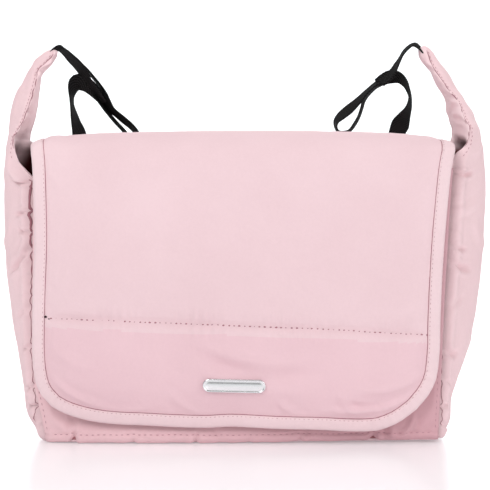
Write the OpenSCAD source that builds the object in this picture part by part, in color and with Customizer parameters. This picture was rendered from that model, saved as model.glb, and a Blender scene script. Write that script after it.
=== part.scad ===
// Soft-sided changing bag with a fold-over flap, raised side wings and a black webbing strap.
// Frame: +Z up, -Y is the front, origin on the floor under the middle of the bag.

/* [Body] */
// Height of the back panel, where the flap is sewn on
back_h = 262; // [260:1:262]
// Height of the front panel
front_h = 240; // [230:1:242]
// Thickness of the padded front and back panels
panel_t = 5; // [3:0.5:6]
// Thickness of the side gussets and wings
gusset_t = 4; // [3:0.5:4.5]
// Thickness of the bottom panel
bottom_t = 3.5; // [2.5:0.5:3.8]

/* [Flap] */
// Half width of the flap at its top
flap_half = 183; // [176:1:183]
// Width of the binding round the flap
binding_w = 11; // [8:1:14]
// Full thickness of the padded flap
flap_t = 7; // [5:0.5:7]
// Gap between the flap and the front panel, which the magnetic snaps bridge
flap_gap = 5.2; // [4.8:0.2:6]
// Distance of the magnetic snaps from the middle
snap_x = 90; // [60:5:110]
// Height of the magnetic snaps
snap_z = 58; // [50:2:70]

/* [Strap] */
// Width of the black webbing
web_w = 20; // [18:1:21]
// Thickness of the black webbing
web_t = 1.4; // [1.2:0.1:1.8]

/* [Inside] */
// Half width of the lining
lining_x = 165; // [150:1:166]
// Half depth of the lining
lining_y = 45; // [40:1:45.5]
// Height of the bottle pockets
pocket_h = 150; // [110:5:170]

/* [Hidden] */

pink = "#eecdd2";
pink_in = "#e2b9c0";
black = "#1a1a1c";

// ---------- general geometry ----------
function unit(v) = v / max(norm(v), 1e-9);
function flat(l) = [for (a = l) for (b = a) b];
// A closed sheet between two grids of points: outer[i][j] and inner[i][j].
module sheet(outer, inner, flip = false) {
    n = len(outer); m = len(outer[0]); k = n * m;
    pts = concat(flat(outer), flat(inner));
    q = concat(
        flat([for (i = [0:n-2]) flat([for (j = [0:m-2]) let(a = i*m+j, b = a+1, c = a+m+1, d = a+m) [[a,b,c],[a,c,d]]])]),
        flat([for (i = [0:n-2]) flat([for (j = [0:m-2]) let(a = k+i*m+j, b = a+1, c = a+m+1, d = a+m) [[a,c,b],[a,d,c]]])]),
        flat([for (j = [0:m-2]) let(a = j, b = j+1) [[b,a,k+a],[b,k+a,k+b]]]),
        flat([for (j = [0:m-2]) let(a = (n-1)*m+j, b = a+1) [[a,b,k+b],[a,k+b,k+a]]]),
        flat([for (i = [0:n-2]) let(a = i*m, d = a+m) [[a,d,k+d],[a,k+d,k+a]]]),
        flat([for (i = [0:n-2]) let(b = i*m+m-1, c = b+m) [[c,b,k+b],[c,k+b,k+c]]]));
    polyhedron(points = pts, faces = flip ? [for (f = q) [f[0], f[2], f[1]]] : q, convexity = 8);
}
// A flat webbing band along points [x, y, z, wx, wy, wz], where w is the direction of its width.
function tangent(p, i) = let(n = len(p), a = p[max(i-1, 0)], b = p[min(i+1, n-1)]) unit([b[0]-a[0], b[1]-a[1], b[2]-a[2]]);
function wide(p, i) = let(t = tangent(p, i), w = [p[i][3], p[i][4], p[i][5]]) unit(w - (w * t) * t);
module band(p, w = web_w, t = web_t, flip = false) {
    n = len(p);
    ring = [for (i = [0:n-1]) let(c = [p[i][0], p[i][1], p[i][2]], W = wide(p, i), N = cross(tangent(p, i), W))
        [c + W*w/2 + N*t/2, c - W*w/2 + N*t/2, c - W*w/2 - N*t/2, c + W*w/2 - N*t/2]];
    side = flat([for (i = [0:n-2]) flat([for (j = [0:3]) let(a = i*4+j, b = i*4+(j+1)%4, c = b+4, d = a+4) [[a,c,b],[a,d,c]]])]);
    e = (n-1)*4;
    q = concat(side, [[0,1,2],[0,2,3]], [[e,e+2,e+1],[e,e+3,e+2]]);
    polyhedron(points = flat(ring), faces = flip ? [for (f = q) [f[0], f[2], f[1]]] : q, convexity = 8);
}
module rounded_plate(x, y, r, h) {
    linear_extrude(h) union() {
        square([2*x, 2*(y-r)], center = true);
        square([2*(x-r), 2*y], center = true);
        for (i = [-1, 1], j = [-1, 1]) translate([i*(x-r), j*(y-r)]) circle(r, $fn = 48);
    }
}

// ---------- the bag's section at each height ----------
function xfl(z) = lookup(z, [[0,-174],[20,-178],[35,-181],[50,-184],[100,-186],[170,-186],[244,-186]]);
function xfr(z) = lookup(z, [[0,172],[50,174],[100,176],[170,180],[236,185],[244,186]]);
function xbl(z) = lookup(z, [[0,-174],[50,-183],[100,-186],[200,-187],[262,-190]]);
function xbr(z) = lookup(z, [[0,172],[50,176],[100,181],[200,185],[262,189]]);
function yf(z) = lookup(z, [[0,-51],[60,-54],[150,-53],[210,-50],[244,-47]]);
function yb(z) = lookup(z, [[0,51],[60,54],[150,54],[210,51],[262,48]]);
function bulge_f(z) = lookup(z, [[0,2],[30,7],[70,12],[130,13],[200,8],[244,3]]);
function bulge_b(z) = lookup(z, [[0,1],[100,5],[200,3],[262,0.5]]);
function dome(u) = 1 - pow(abs(u), 2.6);
// Inner face of the front and back panels at u from -1 (left) to 1 (right).
function px(a, b, u) = a + (b - a) * (u + 1) / 2;
function front_pt(u, z, out) = [px(xfl(z), xfr(z), u), yf(z) - bulge_f(z)*dome(u) - out, z];
function back_pt(u, z, out) = [px(xbl(z), xbr(z), u), yb(z) + bulge_b(z)*dome(u) + out, z];

// Wing and gusset: front edge, outermost line and back edge, at the left and at the right.
lf = [[0,-174,-50.7],[50,-184,-53.4],[100,-186,-53.2],[170,-186,-51.6],[236,-186,-46.9],[240,-193,-46],[245,-201,-45],[255,-206,-42],[268,-207,-34],
      [276,-204,-25],[287,-199,-13],[297,-196.5,-5],[304,-195,2],[312,-193.5,10],[320,-192.5,16],[330,-191.5,24],[337,-190.5,30],[345,-185,35],[354,-179,39]];
lo = [[0,-184],[20,-196],[40,-199.5],[60,-202.5],[80,-205],[100,-209],[120,-211],[150,-215],[180,-217.5],[235,-218],[262,-216.5],[272,-216],[282,-215.5],[290,-214.5],
      [300,-213],[306,-212],[312,-211],[318,-209.5],[323,-206.5],[330,-203.5],[335.5,-201],[341,-197.5],[347,-194],[352.5,-187.5],[356,-183]];
lb = [[0,-174,50.7],[50,-183,53.4],[100,-186,53.7],[200,-187,51.2],[262,-190,47.7],[266,-195,47.7],[272,-201,47.7],[278,-200.5,47.8],[283,-199,48],[289,-197,48],[294,-195.5,48.2],
      [300,-194.5,48.4],[306,-193.5,48.6],[318,-193.5,49],[324,-194.3,49.4],[330,-193.5,49.8],[336,-190,50],[341.5,-184.5,50.5],[345,-181.5,50.6],[350,-180,51],[356,-179.5,51]];
rf = [[0,172,-50.7],[50,174,-53.4],[100,176,-53.2],[170,180,-51.6],[240,186,-46.6],[252,188,-43],[258,191,-41],[263,196,-39],[271,201,-34],[280,203,-28],[286,200,-21],
      [295,198.5,-11],[306,195.8,0],[317,190,12],[328,184.4,22],[334,182,27],[341,178,32],[346,175.5,35],[354,170,38]];
ro = [[0,182],[20,188],[40,190],[60,198],[80,204],[100,208],[120,211.5],[150,215.5],[180,218.5],[210,220],[240,220],[262,218.5],[270,217.5],[278,216.5],[284,214.5],[289,212.5],
      [295,211],[300.5,208],[306,204.5],[312,202.5],[318,199],[324,196],[330,193.5],[336,190],[341.5,186],[347,182],[353,177.5],[356,173]];
rb = [[0,172,50.7],[50,176,53.4],[100,181,53.7],[200,185,51.2],[262,189,47.7],[268,193,47.7],[276,196,47.7],[283,196,48],[289,194,48],[295,192.5,48.2],[300,190.5,48.4],[306,190.5,48.6],
      [312,189,48.8],[318,185.5,49],[324,181.5,49.4],[330,178.5,49.8],[336,176,50],[342,171,50.5],[347,168,50.8],[353,166.5,51],[356,166,51]];
function col(t, z, k) = lookup(z, [for (r = t) [r[0], r[k]]]);
function bez(f, c, b, v) = (1-v)*(1-v)*f + 2*v*(1-v)*c + v*v*b;
function sect(F, O, B, z, v) = let(f = [col(F,z,1), col(F,z,2)], b = [col(B,z,1), col(B,z,2)],
    o = [lookup(z, O), (f[1]+b[1])/2], c = 2*o - (f+b)/2) bez(f, c, b, v);
function sect_n(F, O, B, z, v, s) = let(a = sect(F,O,B,z,max(v-0.02,0)), b = sect(F,O,B,z,min(v+0.02,1)), t = unit(b-a)) s*[-t[1], t[0]];
gz = [3.8, 20, 40, 70, 100, 140, 180, 215, 236, 241, 246, 255, 263, 270, 278, 287, 297, 308, 320, 330, 338, 346, 354];
gt = [[0,gusset_t],[300,gusset_t],[330,3],[354,2]];
module gusset(F, O, B, s) {
    outer = [for (z = gz) [for (v = [0:0.1:1.001]) let(p = sect(F,O,B,z,v)) [p[0], p[1], z]]];
    inner = [for (z = gz) [for (v = [0:0.1:1.001]) let(p = sect(F,O,B,z,v) - lookup(z, gt)*sect_n(F,O,B,z,v,s)) [p[0], p[1], z]]];
    sheet(outer, inner, s < 0);
}
module left_gusset() { color(pink) gusset(lf, lo, lb, 1); }
module right_gusset() { color(pink) gusset(rf, ro, rb, -1); }

// ---------- body ----------
us = [for (i = [-8:8]) i/8];
module front_panel() {
    zs = [3.8, 20, 45, 75, 110, 150, 190, 220, front_h];
    color(pink) sheet([for (z = zs) [for (u = us) front_pt(u, z, panel_t)]], [for (z = zs) [for (u = us) front_pt(u, z, 0)]], true);
}
module back_panel() {
    zs = [3.8, 30, 65, 100, 140, 180, 215, 240, back_h];
    color(pink) sheet([for (z = zs) [for (u = us) back_pt(u, z, panel_t)]], [for (z = zs) [for (u = us) back_pt(u, z, 0)]]);
}
module bottom_panel() {
    ring = concat([for (u = us) let(p = front_pt(u, 0, panel_t)) [p[0], p[1]]],
        [for (v = [0.1:0.1:0.91]) sect(rf, ro, rb, 0, v)],
        [for (i = [8:-1:-8]) let(p = back_pt(i/8, 0, panel_t)) [p[0], p[1]]],
        [for (v = [0.9:-0.1:0.09]) sect(lf, lo, lb, 0, v)]);
    color(pink) linear_extrude(bottom_t) polygon(ring);
}
module base_board() { color("#6b6660") translate([-1, 0, 4.2]) rounded_plate(163, 44, 12, 2.6); }
module lining() {
    color(pink_in) translate([-1, 0, 7.2]) difference() {
        rounded_plate(lining_x, lining_y, 13, 229);
        translate([0, 0, 1.5]) rounded_plate(lining_x-1.5, lining_y-1.5, 11.5, 240);
    }
}
module bottle_pockets() {
    w = 280; d = 11.5; y0 = lining_y - 1.5 - d;
    color(pink_in) difference() {
        translate([-1-w/2, y0, 9]) cube([w, d, pocket_h-9]);
        for (i = [-1:1]) translate([-1 + i*93 - 45.5, y0+1.5, 10.5]) cube([91, d-3, pocket_h]);
    }
}
module pocket_elastic() { color(black) translate([-141, lining_y-1.5-11.5-2.2, pocket_h-13]) cube([280, 2, 12]); }
module mouth_binding() {
    zs = [front_h+0.3, front_h+3.2, front_h+6];
    color(pink) sheet([for (z = zs) [for (u = us) let(p = front_pt(0.92*u, z, panel_t)) [p[0], p[1]-0.2, z]]],
        [for (z = zs) [for (u = us) let(p = front_pt(0.92*u, z, 0)) [p[0], p[1]+0.6, z]]], true);
}

// ---------- magnetic snaps, each half a disc with a backing plate ----------
function fo(x, z) = front_pt((x - (xfl(z)+xfr(z))/2) / ((xfr(z)-xfl(z))/2), z, panel_t)[1];
// Lean of the panel's face at a point, so that discs and plates lie flat on it.
function lean(x, z) = atan((fo(x, z-9) - fo(x, z+9)) / 18);
module at_snaps(dy) { for (s = [-1, 1]) translate([s*snap_x, fo(s*snap_x, snap_z), snap_z]) rotate([90 + lean(s*snap_x, snap_z), 0, 0]) translate([0, 0, -dy]) children(); }
module snap_sockets() {
    color("silver") at_snaps(-0.5) difference() {
        cylinder(d = 18, h = 2.4, $fn = 64);
        translate([0, 0, 0.6]) cylinder(d = 7, h = 4, $fn = 48);
    }
}
module snap_backings() { color("silver") at_snaps(panel_t + 2.6) cylinder(d = 20, h = 0.8, $fn = 64); }
module snap_studs() {
    color("silver") at_snaps(-3.3) { cylinder(d = 18, h = 1, $fn = 64); translate([0, 0, -1.6]) cylinder(d = 4.6, h = 1.7, $fn = 48); }
}

// ---------- flap ----------
// Height of the fold at the front edge, and of the seam at the back edge.
fold_z = 263;
// The flap's lower edge is a little lower at its right.
function flap_zb(x) = 14 - 0.031*x;
function flap_in(x, z) = let(zz = min(z, 244), xx = max(min(x, xfr(zz)), xfl(zz)))
    z <= 240 ? fo(xx, z) - flap_gap : let(k = (z-240)/(fold_z-240)) (fo(xx, 240) - flap_gap)*(1-k) + (-46.5)*k;
function edge_l(z) = lookup(z, [[0,-186],[100,-188],[200,-187],[fold_z,-flap_half]]);
function edge_r(z) = lookup(z, [[0,173],[60,174],[100,175],[150,178],[200,181],[fold_z,flap_half]]);
// The flap's outline below the fold: down the left side, round both lower corners, and up the right side.
function fillet(cx, cz, r, a) = [cx + r*cos(a), cz + r*sin(a)];
rl = 56; rr = 60;
outline = concat(
    [for (z = [fold_z, 256, 248, 236, 215, 190, 160, 130, 100]) [edge_l(z), z]],
    [for (a = [180:15:270]) fillet(edge_l(60)+rl, flap_zb(-130)+rl, rl, a)],
    [for (x = [-100:20:90]) [x, flap_zb(x)]],
    [for (a = [270:15:360]) fillet(edge_r(60)-rr, flap_zb(114)+rr, rr, a)],
    [for (z = [100, 130, 160, 190, 215, 236, 248, 256, fold_z]) [edge_r(z), z]]);
no = len(outline);
function out_n(i) = let(a = outline[max(i-1,0)], b = outline[min(i+1,no-1)], t = unit(b-a)) (i == 0 || i == no-1) ? [i == 0 ? 1 : -1, 0] : [-t[1], t[0]];
function inset(i, d) = outline[i] + d*out_n(i);
module flap_front_binding() {
    color(pink) sheet([for (i = [0:no-1]) [for (d = [0, binding_w/2, binding_w]) let(p = inset(i, d)) [p[0], flap_in(p[0], p[1]) - flap_t, p[1]]]],
        [for (i = [0:no-1]) [for (d = [0, binding_w/2, binding_w]) let(p = inset(i, d)) [p[0], flap_in(p[0], p[1]), p[1]]]]);
}
// The panel inside the binding: rows of constant height share, from the left inset line to the right one.
nh = 16;
module flap_layer(y0, y1) {
    h = nh;
    function row(i, y) = let(a = inset(i, binding_w+0.3), b = inset(no-1-i, binding_w+0.3))
        [for (k = [0:12]) let(p = a + (b-a)*k/12) [p[0], flap_in(p[0], p[1]) - y, p[1]]];
    sheet([for (i = [0:h-1]) row(i, y1)], [for (i = [0:h-1]) row(i, y0)]);
}
module flap_front_cover() { color(pink) flap_layer(5.1, 7); }
module flap_front_foam() { color("#d9d9d6") flap_layer(1.4, 5); }
module flap_front_lining() { color(pink_in) flap_layer(0, 1.3); }
// The part of the flap over the mouth of the bag, domed upwards.
function crown(x, y) = 6 * (1 - pow(abs(x)/flap_half, 4)) * (1 - pow((y-4)/46, 2)) * (abs(y-4) < 46 ? 1 : 0);
module flap_slab(x0, x1, z0, z1) {
    ys = [-42, -34, -22, -8, 6, 20, 34, 43, 49.5];
    sheet([for (y = ys) [for (k = [0:10]) let(x = x0 + (x1-x0)*k/10) [x, y, fold_z + 1 + z1 + crown(x,y)]]],
        [for (y = ys) [for (k = [0:10]) let(x = x0 + (x1-x0)*k/10) [x, y, fold_z + 1 + z0 + crown(x,y)]]], true);
}
fi = flap_half - binding_w - 0.3;
module flap_top_cover() { color(pink) flap_slab(-fi, fi, 5.1, 7); }
module flap_top_foam() { color("#d9d9d6") flap_slab(-fi, fi, 1.4, 5); }
module flap_top_lining() { color(pink_in) flap_slab(-fi, fi, 0, 1.3); }
module flap_top_binding() { color(pink) { flap_slab(-flap_half, -fi-0.3, 0, 7); flap_slab(fi+0.3, flap_half, 0, 7); } }
module at_badge() { translate([-8, flap_in(-8, 53) - flap_t, 53]) rotate([90 + lean(-8, 53), 0, 0]) children(); }
module flap_badge() {
    color("gainsboro") at_badge() translate([0, 0, 0.5]) linear_extrude(1.8)
        union() { square([43, 12], center = true); for (s = [-1, 1]) translate([s*21.5, 0]) circle(6, $fn = 48); }
}
module badge_pins() { color("silver") at_badge() for (s = [-1, 1]) translate([s*18, 0, -4.4]) cylinder(d = 1.6, h = 4.9, $fn = 24); }
module snap_stud_backings() { color("silver") at_snaps(-flap_gap - 2.2) cylinder(d = 20, h = 0.8, $fn = 64); }

// ---------- black webbing ----------
// The strap swings on a line through both wing tips, along X at [y 46, z 357].
module left_tip_tab() { color(black) translate([-193.5, 38.5, 335.5]) rotate([0, 38, 0]) cube([1.4, 5.5, 12]); }
module right_tip_tab() { color(black) translate([180.5, 38, 335.5]) rotate([0, -36, 0]) cube([1.4, 5.5, 12]); }
left_web = [[-173.8,46,357.5,0,-1,0],[-170,48,357.5,0.1,-0.98,0.1],[-166,50.5,354.5,0.2,-0.95,0.2],[-162,54,349.8,0.3,-0.9,0.3],[-157.5,58.5,344.2,0.3,-0.9,0.3],[-152,63.5,337.3,0.3,-0.9,0.3]];
right_web = [[161,46,360.8,0,-1,0],[157,47.5,360.8,0,-1,0],[153,50,358.6,-0.1,-1,0.1],[149.5,53.5,354,-0.1,-0.97,0.1],[146.8,57,349,-0.2,-0.93,0.2],[143.8,60.5,343.5,-0.2,-0.9,0.2],[141.4,63.3,340.4,-0.2,-0.9,0.2]];
module left_wing_web() { color(black) band(left_web); }
module right_wing_web() { color(black) band(right_web); }
left_strap = [[-144.5,64,324.7,0,-1,0],[-150.9,64.3,332.5,0,-1,0],[-155.4,65.2,333.2,-0.1,-1,0.1],[-159.2,66.4,328,-0.2,-0.97,0.1],[-161.6,67.5,319,-0.2,-0.97,0.05],
    [-162.5,68.5,306,0,-1,0],[-160,70,293,0.4,-0.9,0],[-156.5,72,280,0.6,-0.8,0],[-154,74.5,262,0.65,-0.76,0],[-152,77,240,0.55,-0.83,0],[-151,79.5,215,0.35,-0.94,0],
    [-150,81.2,190,0.1,-0.99,0]];
middle_strap = [[-150,81.5,189,0,-1,0],[-147.1,81.5,145,0,-1,0],[-142,81.5,126,0,-1,0],[-130,81.5,102,0,-1,0],[-110,81.5,76,0,-1,0],[-82,81.5,52,0,-1,0],[-45,81.5,36,0,-1,0],
    [-5,81.5,31,0,-1,0],[35,81.5,36,0,-1,0],[72,81.5,52,0,-1,0],[102,81.5,78,0,-1,0],[122,81.5,108,0,-1,0],[133,81.5,140,0,-1,0],[138,81.5,170,0,-1,0],[140,81.5,189,0,-1,0]];
right_strap = [[140.2,81.2,190,-0.1,-0.99,0],[141,79.5,215,-0.35,-0.94,0],[141.5,77,240,-0.55,-0.83,0],[142.5,74.5,262,-0.65,-0.76,0],[146,72,280,-0.6,-0.8,0],[151.5,70,292,-0.4,-0.9,0],
    [156.3,68.7,303,-0.1,-0.98,0],[158,67.8,312,0.1,-0.98,0.05],[156.2,66.7,321.5,0.2,-0.97,0.1],[151,65.5,330,0.1,-1,0.1],[145,64.8,335.2,0,-1,0],[139.9,64.3,335,0,-1,0],[133.5,64,327.3,0,-1,0]];
module left_shoulder_strap() { color(black) band(left_strap); }
module middle_shoulder_strap() { color(black) band(middle_strap); }
module right_shoulder_strap() { color(black) band(right_strap); }
// Box stitching that joins wing web, shoulder strap and hanging loop: a folded patch of webbing.
module joint_patch(x, z, s) { color(black) translate([x, 64, z]) rotate([0, s*39.3, 0]) cube([2.4, 18, 15], center = true); }
module left_joint_patch() { joint_patch(-146, 330, -1); }
module right_joint_patch() { joint_patch(135, 332.5, 1); }
// Hanging loops: a closed teardrop of webbing below each joint.
function teardrop(x, z, s, l, w) = [for (a = [0:20:340]) let(d = l*(1-cos(a))/2, off = w*sin(a)*(0.32 + 0.68*sin(a/2)))
    [x + s*(d*0.63 + off*0.77), 66, z - d*0.77 + off*0.63]];
module loop(x, z, s, l, w) {
    c = teardrop(x, z, s, l, w); n = len(c);
    o = [for (i = [0:n-1]) let(t = unit(c[(i+1)%n] - c[(i-1+n)%n])) [-t[2], 0, t[0]]];
    t = web_t/2; hw = 8;
    rings = [for (i = [0:n-1]) [c[i] + o[i]*t + [0,-hw,0], c[i] + o[i]*t + [0,hw,0], c[i] - o[i]*t + [0,hw,0], c[i] - o[i]*t + [0,-hw,0]]];
    q = flat([for (i = [0:n-1]) flat([for (j = [0:3]) let(a = i*4+j, b = i*4+(j+1)%4, c2 = ((i+1)%n)*4+(j+1)%4, d = ((i+1)%n)*4+j) [[a,b,c2],[a,c2,d]]])]);
    polyhedron(points = flat(rings), faces = q, convexity = 8);
}
module left_hang_loop() { color(black) loop(-140.2, 322.6, 1, 66, 8); }
module right_hang_loop() { color(black) loop(127.5, 325.2, -1, 57, 9); }
// Three-bar slider that shortens the strap, on the straight run at the left.
module strap_slider() {
    color(black) translate([-148.55, 81.5, 167]) rotate([0, -3.77, 0]) difference() {
        cube([6, 27, 20], center = true);
        for (s = [-1, 1]) translate([0, 0, s*4.9]) cube([8, 22, 5.4], center = true);
        cube([2.8, 21.4, 40], center = true);
    }
}

front_panel();
back_panel();
bottom_panel();
base_board();
left_gusset();
right_gusset();
lining();
bottle_pockets();
pocket_elastic();
mouth_binding();
snap_sockets();
snap_backings();
left_tip_tab();
right_tip_tab();
flap_top_cover();
flap_top_foam();
flap_top_lining();
flap_top_binding();
flap_front_cover();
flap_front_foam();
flap_front_lining();
flap_front_binding();
flap_badge();
badge_pins();
snap_studs();
snap_stud_backings();
left_wing_web();
right_wing_web();
left_shoulder_strap();
middle_shoulder_strap();
right_shoulder_strap();
left_joint_patch();
right_joint_patch();
strap_slider();
left_hang_loop();
right_hang_loop();
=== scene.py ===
"""Soft changing bag: fabric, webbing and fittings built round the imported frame."""

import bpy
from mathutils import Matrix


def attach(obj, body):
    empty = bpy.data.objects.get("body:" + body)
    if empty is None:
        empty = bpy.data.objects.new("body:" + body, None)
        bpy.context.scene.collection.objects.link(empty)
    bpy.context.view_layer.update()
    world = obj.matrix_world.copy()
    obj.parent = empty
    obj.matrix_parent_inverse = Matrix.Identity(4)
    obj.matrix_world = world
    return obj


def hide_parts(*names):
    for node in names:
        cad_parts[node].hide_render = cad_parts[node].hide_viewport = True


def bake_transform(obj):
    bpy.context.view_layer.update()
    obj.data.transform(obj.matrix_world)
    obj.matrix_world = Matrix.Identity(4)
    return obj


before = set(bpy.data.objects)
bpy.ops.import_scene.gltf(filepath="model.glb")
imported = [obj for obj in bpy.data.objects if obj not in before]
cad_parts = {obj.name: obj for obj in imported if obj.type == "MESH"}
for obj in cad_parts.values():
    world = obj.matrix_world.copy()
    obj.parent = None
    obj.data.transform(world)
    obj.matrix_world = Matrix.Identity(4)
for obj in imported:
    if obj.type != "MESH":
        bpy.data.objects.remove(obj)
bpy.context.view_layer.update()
import math
import bpy
import bmesh
import numpy as np

# ------------------------------------------------------------------ camera, light and floor
cam_data = bpy.data.cameras.new("camera")
cam = bpy.data.objects.new("camera", cam_data)
bpy.context.scene.collection.objects.link(cam)
cam.location = (0.00137, -1.7, 0.174)
cam.rotation_euler = (math.radians(90), 0, 0)
cam_data.lens = 136.9
cam_data.sensor_width = 36.0
cam_data.clip_start = 0.05
cam_data.clip_end = 50
bpy.context.scene.camera = cam


def area(name, loc, target, size, power, colour=(1, 1, 1)):
    data = bpy.data.lights.new(name, "AREA")
    data.shape = "RECTANGLE"
    data.size, data.size_y = size
    data.energy = power
    data.color = colour
    ob = bpy.data.objects.new(name, data)
    bpy.context.scene.collection.objects.link(ob)
    d = np.array(target, float) - np.array(loc, float)
    ob.location = loc
    ob.rotation_euler = (math.atan2(math.hypot(d[0], d[1]), -d[2]), 0, math.atan2(-d[0], d[1]))
    return ob


area("key", (-0.8, -1.6, 1.35), (0, 0, 0.16), (1.2, 1.0), 18.5)
area("fill", (1.5, -1.2, 0.75), (0, 0, 0.18), (1.2, 1.2), 10.0)
area("top", (0.0, 0.3, 2.0), (0, 0, 0.1), (1.8, 1.8), 12)
area("back", (0.0, 1.3, 1.2), (0, 1.9, 0.3), (2.4, 0.8), 42)
area("rear_fill", (0.4, 1.6, 0.9), (0, 0.05, 0.2), (1.0, 0.8), 4)

world = bpy.data.worlds.new("studio")
bpy.context.scene.world = world
world.use_nodes = True
bg = world.node_tree.nodes["Background"]
bg.inputs[0].default_value = (1, 1, 1, 1)
bg.inputs[1].default_value = 0.388
bpy.context.scene.view_settings.view_transform = "Standard"


# ------------------------------------------------------------------ materials
class Mat:
    """A small helper for building node materials."""

    def __init__(self, name):
        self.m = bpy.data.materials.new(name)
        self.m.use_nodes = True
        self.t = self.m.node_tree
        self.b = self.t.nodes["Principled BSDF"]

    def node(self, kind, **values):
        n = self.t.nodes.new(kind)
        for k, v in values.items():
            if k in n.inputs.keys():
                n.inputs[k].default_value = v
            else:
                setattr(n, k, v)
        return n

    def link(self, a, b):
        self.t.links.new(a, b)

    def bump(self, height, strength, distance, chain=None):
        n = self.node("ShaderNodeBump", Strength=strength, Distance=distance)
        self.link(height, n.inputs["Height"])
        if chain is not None:
            self.link(chain.outputs["Normal"], n.inputs["Normal"])
        return n


def ramp(mat, fac, stops):
    r = mat.node("ShaderNodeValToRGB")
    e = r.color_ramp.elements
    while len(e) < len(stops):
        e.new(0.5)
    for k, (p, c) in enumerate(stops):
        e[k].position = p
        e[k].color = (*c, 1)
    mat.link(fac, r.inputs["Fac"])
    return r


def fabric(name, light, dark, weave=0.00055, rough=0.78, sheen=0.25, weave_bump=0.25, cloud=0.35, painted_shade=None):
    """Woven cloth: soft clouds of colour, a fine weave across the cloth's own grain, and small slubs."""
    m = Mat(name)
    tc = m.node("ShaderNodeTexCoord")
    big = m.node("ShaderNodeTexNoise", Scale=9.0, Detail=3.0, Roughness=0.55)
    m.link(tc.outputs["Object"], big.inputs["Vector"])
    small = m.node("ShaderNodeTexNoise", Scale=420.0, Detail=2.0, Roughness=0.6)
    m.link(tc.outputs["Object"], small.inputs["Vector"])
    sx = m.node("ShaderNodeTexWave", wave_type="BANDS", bands_direction="X", Scale=0.314 / weave, Distortion=0.6, Detail=1.0)
    sy = m.node("ShaderNodeTexWave", wave_type="BANDS", bands_direction="Y", Scale=0.314 / weave, Distortion=0.6, Detail=1.0)
    for s in (sx, sy):
        m.link(tc.outputs["UV"], s.inputs["Vector"])
    w = m.node("ShaderNodeMath", operation="MULTIPLY")
    m.link(sx.outputs["Fac"], w.inputs[0])
    m.link(sy.outputs["Fac"], w.inputs[1])
    f = m.node("ShaderNodeMath", operation="MULTIPLY_ADD")
    m.link(small.outputs["Fac"], f.inputs[0])
    f.inputs[1].default_value = cloud
    m.link(big.outputs["Fac"], f.inputs[2])
    r = ramp(m, f.outputs[0], [(0.35, dark), (0.85, light)])
    mixed = m.node("ShaderNodeMix", data_type="RGBA", blend_type="MULTIPLY")
    tone = ramp(m, w.outputs[0], [(0.0, (0.93, 0.925, 0.93)), (0.7, (1, 1, 1))])
    mixed.inputs[0].default_value = 0.7
    m.link(r.outputs["Color"], mixed.inputs[6])
    m.link(tone.outputs["Color"], mixed.inputs[7])
    colour = mixed.outputs[2]
    if painted_shade:
        # painted shade: a slow change toward a darker colour across the cloth, along one direction
        way, start, end, deep = painted_shade
        dot = m.node("ShaderNodeVectorMath", operation="DOT_PRODUCT")
        m.link(tc.outputs["Object"], dot.inputs[0])
        dot.inputs[1].default_value = way
        k = m.node("ShaderNodeMapRange", interpolation_type="SMOOTHSTEP")
        k.inputs["From Min"].default_value = start
        k.inputs["From Max"].default_value = end
        m.link(dot.outputs["Value"], k.inputs["Value"])
        f2 = m.node("ShaderNodeMix", data_type="RGBA", blend_type="MIX")
        m.link(k.outputs["Result"], f2.inputs[0])
        m.link(colour, f2.inputs[6])
        f2.inputs[7].default_value = (*deep, 1)
        colour = f2.outputs[2]
    m.link(colour, m.b.inputs["Base Color"])
    rr = m.node("ShaderNodeMapRange")
    rr.inputs["To Min"].default_value = rough - 0.07
    rr.inputs["To Max"].default_value = rough + 0.07
    m.link(small.outputs["Fac"], rr.inputs["Value"])
    m.link(rr.outputs["Result"], m.b.inputs["Roughness"])
    b1 = m.bump(w.outputs[0], weave_bump, 0.00012)
    b2 = m.bump(small.outputs["Fac"], 0.12, 0.0005, b1)
    m.link(b2.outputs["Normal"], m.b.inputs["Normal"])
    m.b.inputs["Sheen Weight"].default_value = sheen
    m.b.inputs["Sheen Roughness"].default_value = 0.45
    m.b.inputs["Sheen Tint"].default_value = (*light, 1)
    m.b.inputs["Specular IOR Level"].default_value = 0.3
    return m.m


def webbing(name, light=(0.0270, 0.0262, 0.0268), dark=(0.0043, 0.0040, 0.0041)):
    """Woven polyester webbing: ribs along its length, a chevron across, and a fine fuzz."""
    m = Mat(name)
    tc = m.node("ShaderNodeTexCoord")
    ribs = m.node("ShaderNodeTexWave", wave_type="BANDS", bands_direction="Y", Scale=0.314 / 0.0013, Distortion=0.4)
    picks = m.node("ShaderNodeTexWave", wave_type="BANDS", bands_direction="DIAGONAL", Scale=0.314 / 0.0015, Distortion=1.2, Detail=1.0)
    fuzz = m.node("ShaderNodeTexNoise", Scale=900.0, Detail=2.0)
    for s in (ribs, picks, fuzz):
        m.link(tc.outputs["UV"], s.inputs["Vector"])
    mul = m.node("ShaderNodeMath", operation="MULTIPLY")
    m.link(ribs.outputs["Fac"], mul.inputs[0])
    m.link(picks.outputs["Fac"], mul.inputs[1])
    add = m.node("ShaderNodeMath", operation="MULTIPLY_ADD")
    m.link(fuzz.outputs["Fac"], add.inputs[0])
    add.inputs[1].default_value = 0.5
    m.link(mul.outputs[0], add.inputs[2])
    r = ramp(m, add.outputs[0], [(0.2, dark), (0.9, light)])
    m.link(r.outputs["Color"], m.b.inputs["Base Color"])
    b1 = m.bump(mul.outputs[0], 0.6, 0.0004)
    b2 = m.bump(fuzz.outputs["Fac"], 0.25, 0.0003, b1)
    m.link(b2.outputs["Normal"], m.b.inputs["Normal"])
    m.b.inputs["Roughness"].default_value = 0.85
    m.b.inputs["Specular IOR Level"].default_value = 0.07
    return m.m


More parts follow.
